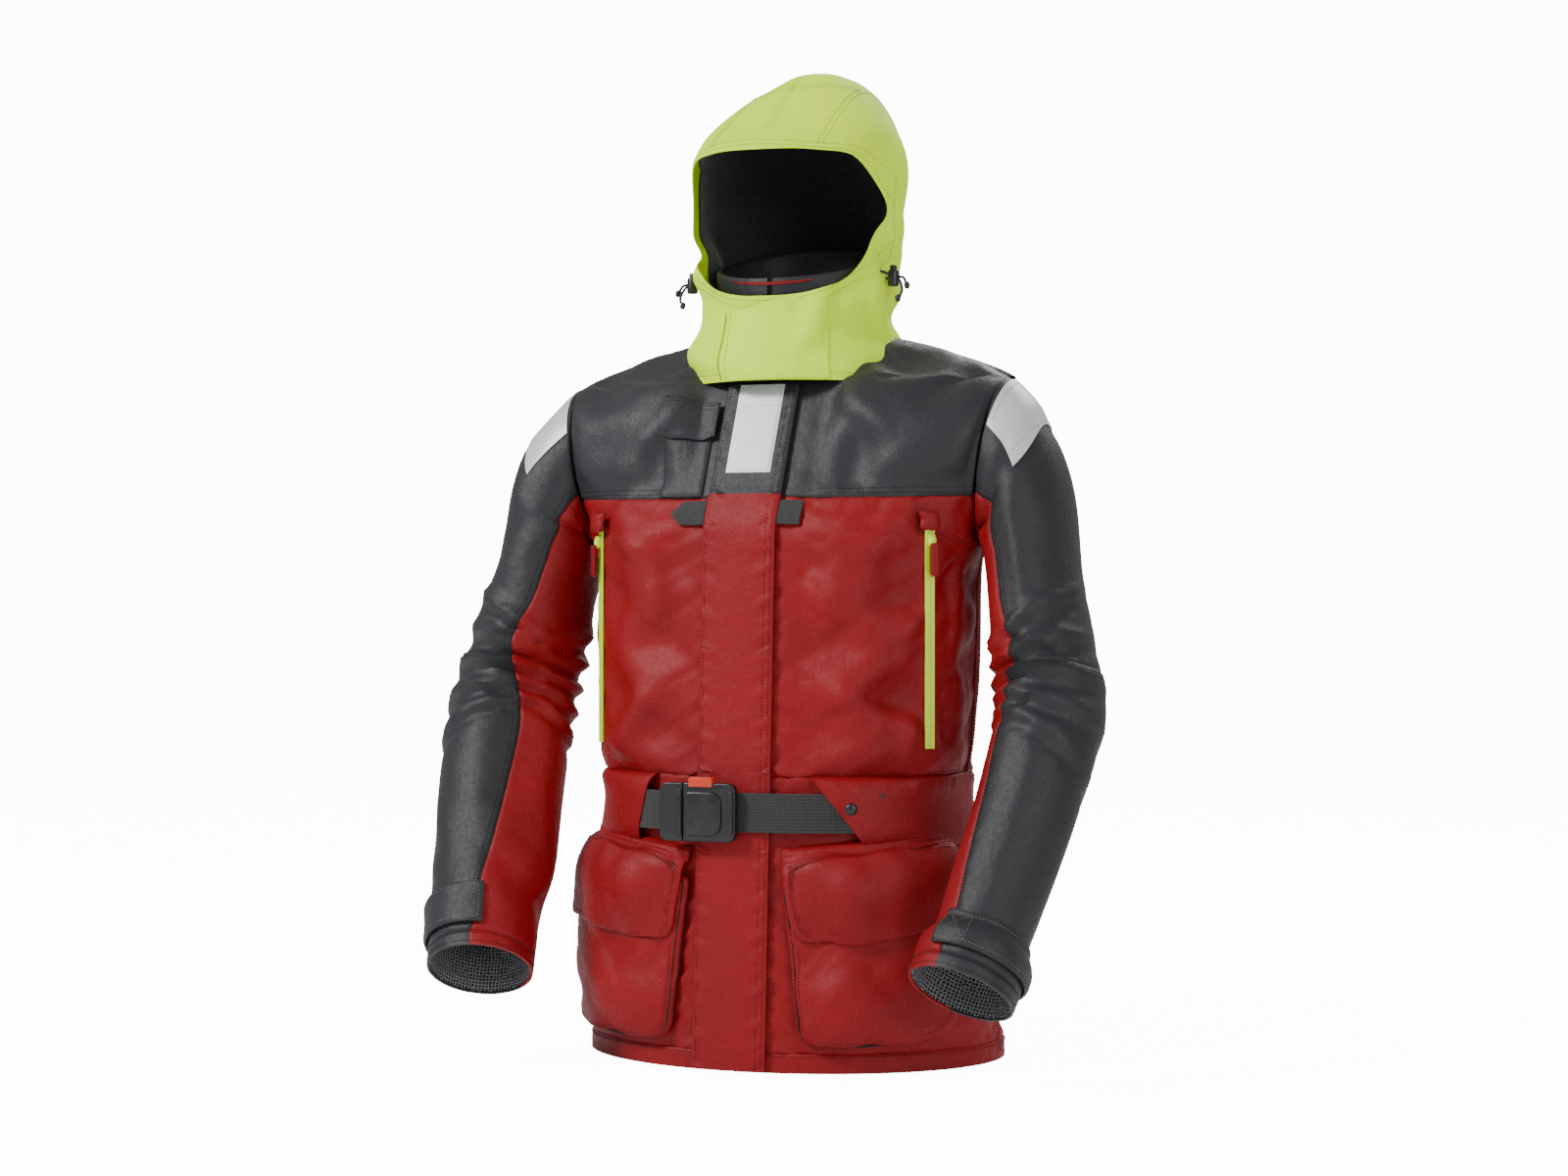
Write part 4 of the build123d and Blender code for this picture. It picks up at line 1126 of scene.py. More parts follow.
def build_body():
    skirt, chest, yoke = (HEM_SEAM, WAIST_SEAM), (WAIST_SEAM, YOKE_SEAM), (YOKE_SEAM, TORSO_END)
    for side, sign in SIDES.items():
        ends = side_ends(sign, lambda run, sign=sign: front_across(sign * HALF_OPENING, run))
        for name, limits, pucker, seed, nodes in (
            ("skirt", skirt, 1.0, 3, []),
            ("chest", chest, 1.2, 5, [f"front_panel_{side}"]),
        ):
            creases = beside_flap(sign, limits[1] - limits[0], seed + 78)
            piece = panel(f"front_{name}_{side}", FRONT, *ends, *limits, "red", pucker=pucker, seed=seed,
                          lift=creases)
            attach(piece, "jacket", *nodes)
        piece = panel(f"front_yoke_{side}", FRONT, *ends, *yoke, "dark", seed=7)
        attach(piece, "jacket", f"yoke_front_{side}")
    for name, limits, paint, pucker, seed, nodes in (
        ("back_skirt", skirt, "red", 0.8, 11, []),
        ("back_body", chest, "red", 0.8, 13, ["back_panel"]),
        ("back_yoke", yoke, "dark", 0.5, 17, ["yoke_back"]),
    ):
        attach(panel(name, BACK, -1, 1, *limits, paint, pucker=pucker, seed=seed), "jacket", *nodes)
    layer("hem_fold", "hem_band", "red", (HEM_OPENING, 1.0), (0, HEM_SEAM), cell=4, thickness=3, seed=19,
          edges="t")
    layer("foam_slabs", "flotation_foam", "foam", (0.08, 0.98), (30, 700), cell=12, lift=-3.4, thickness=4.5,
          edges="")
    layer("lining_mesh", "mesh_lining", "mesh", (0.07, 1), (22, 706), cell=12, lift=-9.0, thickness=0.9,
          edges="")
    build_body_stitches()


def layer(name, node, paint, across, runs, seed=1, **settings):
    """One layer all round the body: two fronts that leave the zip free, and a back."""
    opening, edge = across
    parts = []
    for surface, low, high, shift in (
        (FRONT, -edge, -opening, 0),
        (FRONT, opening, edge, 0),
        (BACK, -edge, edge, 4),
    ):
        parts.append(panel(name, surface, low, high, *runs, paint, seed=seed + shift, **settings))
    attach(merge(name, parts), "jacket", node)


def build_body_stitches():
    across = np.linspace(-1, 1, 260)
    halves = (np.linspace(-1, -0.3, 120), np.linspace(0.3, 1, 120))
    red = [trail(BACK, across, height) for height in (HEM_SEAM - 3, WAIST_SEAM - 5, WAIST_SEAM + 5)]
    red.append(trail(FRONT, across, HEM_SEAM - 3))
    red += [trail(FRONT, half, WAIST_SEAM + rise) for half in halves for rise in (-5, 5)]
    run = np.linspace(8, YOKE_SEAM - 4, 200)
    red += [trail(BACK, sign * inset, run) for inset in (0.985, 0.965) for sign in (-1, 1)]
    dark = []
    for rise in (4.0, 9.0):
        dark += [trail(FRONT, half, YOKE_SEAM + rise) for half in halves]
        dark.append(trail(BACK, across, YOKE_SEAM + rise))
    sew("red_seam_stitches", red, "red_thread", "jacket")
    sew("yoke_seam_stitches", dark, "dark_thread", "jacket")


# ---- sleeves ------------------------------------------------------------------------------
SLEEVE_BENDS = {"upper": (8, 190), "lower": (ELBOW_RUN + 4, ELBOW_RUN + 120)}   # runs
CUFF_COLOUR_CHANGE = 252.0           # angle where the cuff's red meets its charcoal
CUFF_STRAP_ANGLES = (240.0, 410.0)   # from the sewn end, round the outside of the arm
CUFF_STRAP_RUNS = (SLEEVE_END - 68, SLEEVE_END - 24)
CUFF_STRAP_BOX = (4.0, 34.0)         # sewn box's start and end, as angles from the sewn end


def front_seam(run):
    """Angle of the front sleeve seam: the red widens at the crook of the elbow."""
    return curve_through([0, 170, ELBOW_RUN - 20, ELBOW_RUN + 45, SLEEVE_END],
                         [246, 247, 257, 236, 252], run)


def back_seam(run):
    return np.full_like(run, 180 - SEAM_ANGLE)


def around_to_back(run):
    return back_seam(run) + 360


def sleeve_middle(side, run):
    """Centre of a sleeve at a run."""
    return curve_through(SLEEVE_RUNS, SLEEVE_CENTRES, float(run)) * np.array([SIDES[side], 1, 1])


def sleeve_hinge(side, length):
    """The two bodies named for a length of sleeve, and the stretch given for its bend."""
    start, end = (sleeve_middle(side, run) for run in SLEEVE_BENDS[length])
    if length == "upper":
        return "jacket", f"sleeve_upper_{side}", start, end
    return f"sleeve_upper_{side}", f"sleeve_lower_{side}", start, end


def build_sleeves():
    for side, arm in ARMS.items():
        for length, low, high, seed in (("upper", 0, ELBOW_RUN, 29), ("lower", ELBOW_RUN, CUFF_RUN, 31)):
            hinge = sleeve_hinge(side, length)
            for name, left, right, paint in (("inner", back_seam, front_seam, "red"),
                                             ("outer", front_seam, around_to_back, "dark")):
                piece = panel(f"sleeve_{length}_{name}_shell_{side}", arm, left, right, low, high, paint,
                              pucker=0.7, seed=seed)
                attach(piece, hinge, f"sleeve_{length}_{name}_{side}")
            run = np.linspace(low + 5, high - 5, 120)
            rows = [trail(arm, front_seam(run) + inset, run) for inset in (3.2, 7.0)]
            rows.append(trail(arm, back_seam(run) - 3.2, run))
            if length == "lower":
                angle = np.linspace(float(front_seam(low)) + 4, 180 - SEAM_ANGLE + 356, 120)
                rows += [trail(arm, angle, low + rise) for rise in (4.5, 9.5)]
            sew(f"sleeve_{length}_stitches_{side}", rows, "dark_thread", hinge)
        build_cuff(side, arm)
        build_cuff_strap(side, arm)


def build_cuff(side, arm):
    body = f"sleeve_lower_{side}"
    parts = []
    for low, high, paint in ((180 - SEAM_ANGLE, CUFF_COLOUR_CHANGE, "red"),
                             (CUFF_COLOUR_CHANGE, 540 - SEAM_ANGLE, "dark")):
        parts.append(panel("cuff", arm, low, high, CUFF_RUN, SLEEVE_END, paint, thickness=3.0, edges="b",
                           cell=4, seed=37))
    attach(merge(f"cuff_fold_{side}", parts), body, f"cuff_band_{side}", slot="charcoal_shell")
    angles, run = np.meshgrid(np.linspace(0, 360, 97)[:-1], np.linspace(SLEEVE_END - 130, SLEEVE_END - 2, 24))
    points, normals = arm.lifted(angles, run, -3.6), arm.normal(angles, run)
    attach(sheet(f"cuff_lining_{side}", points, normals, 0.8, "mesh", closed=True), body)
    around = np.linspace(0, 360, 200)
    rows = [trail(arm, around, edge) for edge in (CUFF_RUN + 3, SLEEVE_END - 4)]
    sew(f"cuff_stitches_{side}", rows, "dark_thread", body)


def build_cuff_strap(side, arm):
    """A strap sewn down with a crossed box at one end, in place of the cuff tab."""
    low, high = CUFF_STRAP_ANGLES
    strap = panel(f"cuff_strap_{side}", arm, low, high, *CUFF_STRAP_RUNS, "dark", lift=5.4, thickness=2.4,
                  depth=1.0, pucker=0.35, cell=4)
    middle_run = sum(CUFF_STRAP_RUNS) / 2
    root, box_end = (low + turn for turn in CUFF_STRAP_BOX)
    sewn, loose = arm.point(root, middle_run), arm.point(box_end, middle_run)
    hinge = (f"sleeve_lower_{side}", f"cuff_tab_{side}", sewn, loose)
    attach(strap, hinge, f"cuff_tab_{side}")
    first, last = CUFF_STRAP_RUNS[0] + 5, CUFF_STRAP_RUNS[1] - 5
    rows = [trail(arm, np.linspace(root, high - 4, 120), edge, 5.8) for edge in (first, last)]
    share = np.linspace(0, 1, 24)
    for angle, angle_end, run, run_end in ((root, box_end, first, last), (root, box_end, last, first),
                                           (box_end, box_end, first, last), (root, root, first, last)):
        rows.append(trail(arm, angle + (angle_end - angle) * share, run + (run_end - run) * share, 5.8))
    sew(f"cuff_strap_stitches_{side}", rows, "tape_thread", hinge, slot="charcoal_shell")


def build_shoulder_reflectors():
    """A reflective patch over each sleeve head, just outside the armhole seam."""
    nodes = {"left": ["shoulder_reflectors"], "right": []}
    for side, arm in ARMS.items():
        angle, share = np.meshgrid(np.linspace(-66, 34, 44), np.linspace(0, 1, 16))
        run = 3 + (40 - 10 * smoothstep((angle + 66) / 60)) * share
        points, normals = arm.lifted(angle, run, 1.6), arm.normal(angle, run)
        patch = sheet(f"shoulder_tape_{side}", points, normals, 1.2, "tape")
        hinge = sleeve_hinge(side, "upper")
        attach(patch, hinge, *nodes[side])
        rows = [trail(arm, np.linspace(-60, 30, 40), edge, 2.0) for edge in (6.5, 31)]
        sew(f"shoulder_tape_stitches_{side}", rows, "tape_thread", hinge, size=0.8)


# ---- front closure ------------------------------------------------------------------------
FLAP_LIFT = 7.0
FLAP_BEND = 70.0            # length at an opening flap's sewn end, given as the stretch of its hinge
CHEST_FLAP_Y, SKIRT_FLAP_Y = -140.0, -150.0
NECK_HEIGHT = 704.0         # where the zip ends under the collar


def flap_length(name, low, high, paint, to, *nodes):
    """One length of the storm flap with its rows of stitches, on a body or a hinge."""
    x_low, x_high = FLAP_LOW[0], FLAP_HIGH[0]
    piece = front_panel(name, x_low, x_high, low, high, paint, FLAP_LIFT, thickness=2.6, edges="lr",
                        depth=1.4, pucker=1.7, cell=4, seed=43)
    attach(piece, to, *nodes)
    z = np.linspace(low + 1, high - 1, max(8, int((high - low) / 4)))
    rows = [front_trail(x, z, FLAP_LIFT + 0.4) for x in (x_low + 4.5, x_high - 4, x_high - 10)]
    sew(f"{name}_stitches", rows, f"{paint}_thread", to)


def build_storm_flap():
    low, high = FLAP_LOW[2], FLAP_HIGH[2]
    middle = (low + high) / 2
    chest_top = ("storm_flap_chest", "jacket", (0, CHEST_FLAP_Y, high - FLAP_BEND), (0, CHEST_FLAP_Y, high))
    chest_foot = ("jacket", "storm_flap_chest", (0, CHEST_FLAP_Y, low), (0, CHEST_FLAP_Y, low + FLAP_BEND))
    skirt_top = ("storm_flap_skirt", "jacket",
                 (0, SKIRT_FLAP_Y, SKIRT_FLAP_TOP - FLAP_BEND), (0, SKIRT_FLAP_Y, SKIRT_FLAP_TOP))
    flap_length("storm_flap_yoke", YOKE_SEAM, HELD_FLAP_TOP, "dark", "jacket", "storm_flap_held")
    flap_length("storm_flap_top", high, YOKE_SEAM, "red", "jacket")
    flap_length("storm_flap_waist", SKIRT_FLAP_TOP, low, "red", "jacket")
    flap_length("storm_flap_upper", middle, high, "red", chest_top, "storm_flap_chest")
    flap_length("storm_flap_lower", low, middle, "red", chest_foot)
    flap_length("storm_flap_hem", 1.0, SKIRT_FLAP_TOP, "red", skirt_top, "storm_flap_skirt")


def build_flap_tape():
    low, high = span("storm_flap_reflector")
    strip = front_panel("storm_flap_tape", low[0], high[0], low[2], high[2], "tape", FLAP_LIFT + 1.0,
                        thickness=0.9, edges="lrb", depth=0.4, pucker=0.15, cell=4)
    attach(strip, "jacket", "storm_flap_reflector")
    z = np.linspace(low[2] + 3, high[2] - 2, 40)
    x = np.linspace(low[0] + 3, high[0] - 3, 24)
    rows = [front_trail(edge, z, FLAP_LIFT + 1.3) for edge in (x[0], x[-1])]
    rows += [front_trail(x, height, FLAP_LIFT + 1.3) for height in (low[2] + 3, high[2] - 22)]
    sew("flap_tape_stitches", rows, "tape_thread", "jacket", size=0.8)


def build_main_zip():
    low, high = span("main_zip_tapes")
    tapes = [front_panel("tape", *ends, low[2], min(high[2], NECK_HEIGHT), "lining_tape", 1.0, thickness=1.4,
                         edges="", cell=6) for ends in ((1.2, 8.2), (-8.2, -1.2))]
    attach(merge("main_zip_tape_pair", tapes), "jacket", "main_zip_tapes")
    z = np.linspace(low[2] + 2, NECK_HEIGHT - 4, 160)
    rows = [front_trail(x, z, 1.6) for x in (-1.6, 1.6)]
    sew("main_zip_teeth", rows, "zip", "jacket", pitch=2.6, size=1.1)


def build_tabs():
    """Webbing tabs under the yoke; the one on the wearer's right is pointed."""
    low, high = (corner[2] for corner in span("chest_webbing_tabs"))
    tabs = []
    for x_low, x_high, point in ((30.0, 62.0, 0.0), (-84.0, -44.0, 12.0)):
        x, t = np.meshgrid(np.linspace(x_low, x_high, 22), np.linspace(-1, 1, 10))
        taper = np.clip((x - x_low) / point, 0.05, 1) if point else np.ones_like(x)
        z = (low + high) / 2 + t * taper * (high - low) / 2
        tabs.append(on_front("tab", x, z, 4.4, "webbing", thickness=2.2, depth=0.4, pucker=0.0))
    attach(merge("webbing_tabs", tabs), "jacket", "chest_webbing_tabs")


# ---- belt ---------------------------------------------------------------------------------
WEBBING_LIFT, WEBBING_THICKNESS, WEBBING_END = 13.2, 1.8, 150.0
TUNNEL_LIFT, TUNNEL_EDGE_LIFT = 15.0, 1.5
TUNNEL_SLANT = {"left": 52.0, "right": 16.0}   # how far each mouth leans, from its foot to its top
SNAP_FACING = np.array([0.38, -0.925, 0])
SNAP_PROFILE = [(0.5, 2.6), (3.0, 2.5), (5.4, 1.6), (6.4, 0.3), (6.5, -1.5), (2.6, -3.4)]


def webbing_band(x_low, x_high):
    """Belt webbing round the front of the waist, on the undraped shape, so that it stays flat."""
    half_height = (WEBBING_HIGH[2] - WEBBING_LOW[2]) / 2
    x, run = np.meshgrid(np.linspace(x_low, x_high, 60),
                         np.linspace(BELT_HEIGHT - half_height, BELT_HEIGHT + half_height, 9))
    section = torso_section(np.full_like(run, BELT_HEIGHT))
    half, front, rear, square = section[..., 1], section[..., 2], section[..., 3], section[..., 4]
    middle, depth = (front + rear) / 2, (rear - front) / 2 + WEBBING_LIFT
    half = half + WEBBING_LIFT
    y = middle - depth * (1 - np.abs(x / half) ** square) ** (1 / square)
    y = y + torso_section(run)[..., 2] - front
    points = np.stack([x, y, run], axis=-1)
    normals = unit(np.stack([x / half**2, (y - middle) / depth**2, np.zeros_like(x)], axis=-1))
    return sheet("belt", points, normals, WEBBING_THICKNESS, "webbing")


def tunnel_rise(s, t):
    """Lift of a belt tunnel: full at its mouth (s = 0), flat at its two long edges (t = 0 and 1)."""
    arch = np.sqrt(np.clip(1 - (2 * t - 1) ** 4, 0, 1))
    return TUNNEL_EDGE_LIFT + (TUNNEL_LIFT - TUNNEL_EDGE_LIFT) * arch * (1 - 0.72 * smoothstep(s))


def build_belt():
    bands = [webbing_band(HOUSING_HIGH[0] - 10, WEBBING_END), webbing_band(-WEBBING_END, TONGUE_LOW[0] + 12)]
    attach(merge("waist_webbing", bands), "jacket", "belt_webbing")
    low, high = span("belt_tunnel_left")
    mouth, reach = low[0], (high[2] - low[2]) / 2
    for side, sign in SIDES.items():
        def opening(run, sign=sign, slant=TUNNEL_SLANT[side]):
            return front_across(sign * (mouth - slant * (run - BELT_HEIGHT) / reach / 2), run)

        rise = tunnel_rise if sign > 0 else (lambda s, t: tunnel_rise(1 - s, t))
        tunnel = panel(f"tunnel_{side}", FRONT, *side_ends(sign, opening), BELT_HEIGHT - reach,
                       BELT_HEIGHT + reach, "red", lift=rise, thickness=1.6, edges="bt", depth=1.0,
                       pucker=1.2, cell=4, seed=47)
        attach(tunnel, "jacket", f"belt_tunnel_{side}")
    low, high = span("tunnel_snap")
    snap = lathe("snap_cap", SNAP_PROFILE, (low + high) / 2 + SNAP_FACING * 2.0, SNAP_FACING, "snap")
    attach(snap, "jacket", "tunnel_snap")


def build_buckle():
    front, rear = HOUSING_LOW[1], HOUSING_HIGH[1]
    z = (HOUSING_LOW[2], HOUSING_HIGH[2])
    middle, depth = (z[0] + z[1]) / 2, (front + rear) / 2
    slot_z = (middle - 21, middle + 21)
    x = (HOUSING_LOW[0], HOUSING_HIGH[0])
    attach(merge("buckle_shell", [
        moulded("buckle_shell", x, z, (2, 9, 9, 2), front + 2.6, rear, 1.4, [((-2.5, 1.5), slot_z)]),
        moulded("pad", (x[0] + 3, x[1] - 15), (z[0] + 6, z[1] - 9), (4, 13, 13, 4), front, front + 4, 1.6),
        moulded("rib", (x[1] - 7, x[1] - 2), (z[0] + 8, z[1] - 8), (2,) * 4, front + 0.6, front + 4, 1.0),
    ]), "jacket", "buckle_housing")
    x = (TONGUE_LOW[0], HOUSING_LOW[0] - 0.8)
    slots = [((-71.0, -66.5), slot_z), ((-60.5, -56.0), slot_z)]
    attach(merge("tongue_frame", [
        moulded("tongue_frame", x, z, (8, 2, 2, 8), front + 2.6, rear, 1.2, slots),
        moulded("bar", (x[1] - 5, x[1] - 0.4), (z[0] + 6, z[1] - 6), (1.6,) * 4, front + 0.4, front + 4, 1.0),
        moulded("prong", (x[1] - 2, x[1] + 28), (middle - 19, middle + 19), (1, 6, 6, 1),
                depth - 2.0, depth + 2.0, 0.8),
    ]), "buckle_tongue", "buckle_tongue")
    x, z = (BUTTON_LOW[0], BUTTON_HIGH[0]), (BUTTON_LOW[2], BUTTON_HIGH[2] + 3)
    button = moulded("release_button", x, z, (0.6, 0.6, 3, 3), BUTTON_LOW[1] - 1.2, BUTTON_HIGH[1] + 1.0, 1.0,
                     paint="orange")
    attach(button, "buckle_button", "buckle_button")


# ---- pockets ------------------------------------------------------------------------------
POCKET_SLANT = math.radians(7.0)
POCKET_CENTRE, POCKET_HALVES = (128.0, 120.0), (68.0, 86.0)
COVER_CENTRE, COVER_HALVES = (128.0, 182.0), (71.0, 42.0)
POCKET_LIFT, COVER_LIFT = 13.0, 19.0
POCKET_Y = -150.0           # of the jacket's front behind the pockets
STITCH_INSET = 7.0          # of the pocket's row of stitches from its edge


def slanted_place(sign, centre, u, v):
    x = centre[0] + u * math.cos(POCKET_SLANT) - v * math.sin(POCKET_SLANT)
    z = centre[1] + u * math.sin(POCKET_SLANT) + v * math.cos(POCKET_SLANT)
    return sign * x, z


def outline_of(u, v):
    """The border of grids, once round, upwards on the right."""
    return [np.concatenate([g[0, :-1], g[:-1, -1], g[-1, :0:-1], g[:0:-1, 0]]) for g in (u, v)]


def row_below(u, v, top, middle):
    """The part of an outline that lies below a height, in order round a middle height."""
    ring_u, ring_v = outline_of(u, v)
    keep = ring_v < top
    ring_u, ring_v = ring_u[keep], ring_v[keep]
    order = np.argsort(np.arctan2(ring_u, -(ring_v - middle)))
    return ring_u[order], ring_v[order]


def build_cargo_pocket(side, sign):
    half_u, half_v = POCKET_HALVES
    u, v = soft_rectangle(half_u, half_v, 8, 20)
    across, up = u / half_u, v / half_v
    lift = POCKET_LIFT + 5.0 * ((1 - across**2) * (1 - up**2))
    lift = lift + 1.5 * ripple(u + 0.6 * v, 53, 60) * (1 - across**4) + 0.7 * ripple(v - u, 57, 44)
    x, z = slanted_place(sign, POCKET_CENTRE, u, v)
    bag = on_front(f"pocket_bag_{side}", x, z, lift, "red", depth=6.0, reach=12.0, pucker=0.5, seed=59)
    attach(bag, "jacket", f"cargo_pocket_{side}")
    build_gusset(side, sign, u * 0.965, v * 0.972)
    build_cargo_cover(side, sign)
    row_u, row_v = row_below(u * (1 - STITCH_INSET / half_u), v * (1 - STITCH_INSET / half_v), 20, 30)
    lift = POCKET_LIFT + 3.0 * (1 - (row_u / half_u) ** 2) * (1 - (row_v / half_v) ** 2)
    row = front_trail(*slanted_place(sign, POCKET_CENTRE, row_u, row_v), lift + 0.5)
    sew(f"pocket_stitches_{side}", [row], "red_thread", "jacket")


def build_gusset(side, sign, u, v):
    """The pocket's side wall: a ring from the jacket out to the bag, folded in half way."""
    ring_u, ring_v = outline_of(u, v)
    share = np.linspace(0, 1, 6)
    x, fold = np.meshgrid(ring_u, 2.2 * np.sin(math.pi * share))
    z, lifts = np.meshgrid(ring_v, np.linspace(0.3, POCKET_LIFT - 2.0, 6))
    x, z = slanted_place(sign, POCKET_CENTRE, x, z)
    run = run_at_height(z)
    across = front_across(x, run)
    wall = FRONT.lifted(across, run, lifts)
    ahead = np.roll(wall, -1, axis=1) - np.roll(wall, 1, axis=1)
    outward = unit(np.cross(ahead, FRONT.normal(across, run))) * sign
    wall = wall - outward * fold[..., None]
    gusset = sheet(f"pocket_gusset_{side}", wall, outward, 1.2, "lining_tape", closed=True)
    attach(gusset, "jacket", slot="charcoal_shell")


def build_cargo_cover(side, sign):
    half_u, half_v = COVER_HALVES
    u, v = soft_rectangle(half_u, half_v, 4, 17)
    lift = COVER_LIFT + 2.4 * (1 - (u / half_u) ** 2) - 6.0 * smoothstep((v / half_v - 0.7) / 0.3)
    lift = lift + 1.0 * ripple(u, 63, 58)
    x, z = slanted_place(sign, COVER_CENTRE, u, v)
    cover = on_front(f"pocket_cover_{side}", x, z, lift, "red", depth=2.6, reach=7.0, pucker=0.3, seed=61)
    top = COVER_CENTRE[1] + half_v
    sewn = (sign * (COVER_CENTRE[0] - 5.0), POCKET_Y, top - 1.0)
    loose = (sign * (COVER_CENTRE[0] - 2.0), POCKET_Y, top - 24.0)
    hinge = ("jacket", f"cargo_flap_{side}", sewn, loose)
    attach(cover, hinge, f"cargo_flap_{side}")
    row_u, row_v = row_below(u * 0.925, v * 0.875, 38, 60)
    lift = COVER_LIFT + 2.0 - 1.6 * (row_u / half_u) ** 2
    row = front_trail(*slanted_place(sign, COVER_CENTRE, row_u, row_v), lift)
    sew(f"pocket_cover_stitches_{side}", [row], "red_thread", hinge)
    build_welt(side, sign)


def build_welt(side, sign):
    """The puckered strip above a cargo pocket's cover."""
    half_u, half_v = COVER_HALVES
    u, rise = np.meshgrid(np.linspace(-1, 1, 46) * (half_u + 1), np.linspace(0, 1, 12))
    arch = np.sqrt(np.clip(1 - rise**1.6, 0, 1))
    lift = 1.0 + (COVER_LIFT - 5.5) * arch * (1 - 0.5 * np.abs(u / (half_u + 1)) ** 8)
    lift = lift + 0.8 * np.sin(rise * 2 * math.pi * 2)
    x, z = slanted_place(sign, COVER_CENTRE, u, half_v - 3 + rise * 17)
    attach(on_front(f"pocket_welt_{side}", x, z, lift, "red", depth=0.6, pucker=0.4, seed=67), "jacket")


def build_chest_pocket():
    low, high = span("chest_pocket")
    x, z = np.meshgrid(np.linspace(low[0], high[0], 18), np.linspace(low[2] - 2, high[2], 20))
    bag = on_front("chest_pocket_bag", x, z, 4.0, "dark", thickness=2.4, depth=2.2, reach=4.0, pucker=0.4)
    attach(bag, "jacket", "chest_pocket")
    low, high = span("chest_pocket_flap")
    x, z = np.meshgrid(np.linspace(low[0], high[0], 20), np.linspace(low[2], high[2], 16))
    slope = (x - low[0]) / (high[0] - low[0])
    cut_corners = z + 5 * (1 - smoothstep(slope / 0.3)) + 4 * smoothstep((slope - 0.8) / 0.2)
    z = np.where(z < low[2] + 8, cut_corners, z)
    cover = on_front("chest_pocket_cover", x, z, 8.0, "dark", depth=0.9, pucker=0.2)
    middle = (low + high) / 2
    sewn, loose = ((middle[0], middle[1], high[2] - drop) for drop in (1.0, 14.0))
    hinge = ("jacket", "chest_pocket_flap", sewn, loose)
    attach(cover, hinge, "chest_pocket_flap")
    rows = [front_trail(np.linspace(low[0] + 4, high[0] - 4, 30), high[2] - drop, 8.4) for drop in (4, 8)]
    sew("chest_pocket_stitches", rows, "dark_thread", hinge)


# ---- chest zips ---------------------------------------------------------------------------
ZIP_FACING = np.array([0.66, -0.75, 0.0])
ZIP_BESIDE = np.array([0.75, 0.66, 0.0])
UPWARDS = np.array([0, 0, 1.0])
SLIDER_PROFILE = [(1.0, -6.5), (4.2, -5.5), (4.8, 0), (3.4, 5.5), (1.0, 6.5)]


def build_chest_zips():
    z = np.linspace(CHEST_ZIP_LOW, CHEST_ZIP_HIGH, 60)
    middle = np.stack([CHEST_ZIP_X + 0 * z, CHEST_ZIP_Y + 0 * z, z], 1) + ZIP_FACING * 5.4
    wide = np.array([-5.2, -2.6, 0, 2.6, 5.2])
    tapes = []
    for side, sign in SIDES.items():
        mirror = np.array([sign, 1, 1])
        facing = ZIP_FACING * mirror
        points = (middle[:, None] + ZIP_BESIDE * wide[None, :, None]) * mirror
        tapes.append(sheet("zip_tape", points, np.broadcast_to(facing, points.shape), 1.4, "zip"))
        row_normals = np.broadcast_to(facing, middle.shape)
        rows = [((middle + ZIP_BESIDE * shift + ZIP_FACING * 0.5) * mirror, row_normals)
                for shift in (-1.1, 1.1)]
        sew(f"chest_zip_teeth_{side}", rows, "zip", "jacket", pitch=2.2, size=0.9)
        x, z = np.meshgrid(np.linspace(CHEST_ZIP_X - 9, CHEST_ZIP_X + 9, 8),
                           np.linspace(CHEST_ZIP_HIGH - 4, CHEST_ZIP_HIGH + 14, 8))
        garage = on_front(f"chest_zip_garage_{side}", sign * x, z, 12.0, "red", thickness=3.0, depth=2.0)
        attach(garage, "jacket")
        build_slider(side, facing)
    attach(merge("chest_zip_tapes", tapes), "jacket", "chest_zip_tracks")


def build_slider(side, facing):
    node = f"chest_zip_slider_{side}"
    low, high = span(node)
    attach(lathe(f"zip_slider_{side}", SLIDER_PROFILE, (low + high) / 2, UPWARDS, "zip", 20), node, node)
    node = f"chest_zip_pull_{side}"
    low, high = span(node)
    u, v = soft_rectangle(4.6, (high[2] - low[2]) / 2, 2, 3, 1.6)
    beside = np.cross(UPWARDS, facing)
    points = (low + high) / 2 + beside * u[..., None] + UPWARDS * v[..., None] + facing * 1.2
    normals = np.broadcast_to(facing, points.shape)
    points = tucked(points, normals, depth=0.6, reach=1.6, pucker=0.0)
    attach(sheet(f"zip_pull_{side}", points, normals, 2.4, "red"), node, node)


# ---- collar -------------------------------------------------------------------------------
NECK_X, NECK_Y, NECK_CENTRE_Y = 84.0, 80.0, 30.0
COLLAR_FOOT, COLLAR_FRONT, COLLAR_REAR = 700.0, 822.0, 868.0
COLLAR_HINGE = ("jacket", "hood", (0, 30, 770), (0, 30, 900))


def collar_place(angle, share):
    """Point and normal on the collar; angle in degrees from the front, share from foot to rim."""
    turn = np.radians(angle)
    top = COLLAR_FRONT + (COLLAR_REAR - COLLAR_FRONT) * (1 - np.cos(turn)) / 2
    height = COLLAR_FOOT + (top - COLLAR_FOOT) * share
    lean = 1 + 0.07 * share
    wave = 1.2 * np.sin(5 * turn + 2.0) * share
    x, y = (NECK_X * lean + wave) * np.sin(turn), NECK_CENTRE_Y - (NECK_Y * lean + wave) * np.cos(turn)
    normals = unit(np.stack([np.sin(turn) / NECK_X, -np.cos(turn) / NECK_Y, 0.001 + 0 * turn], axis=-1))
    return np.stack([x, y, height], axis=-1), normals


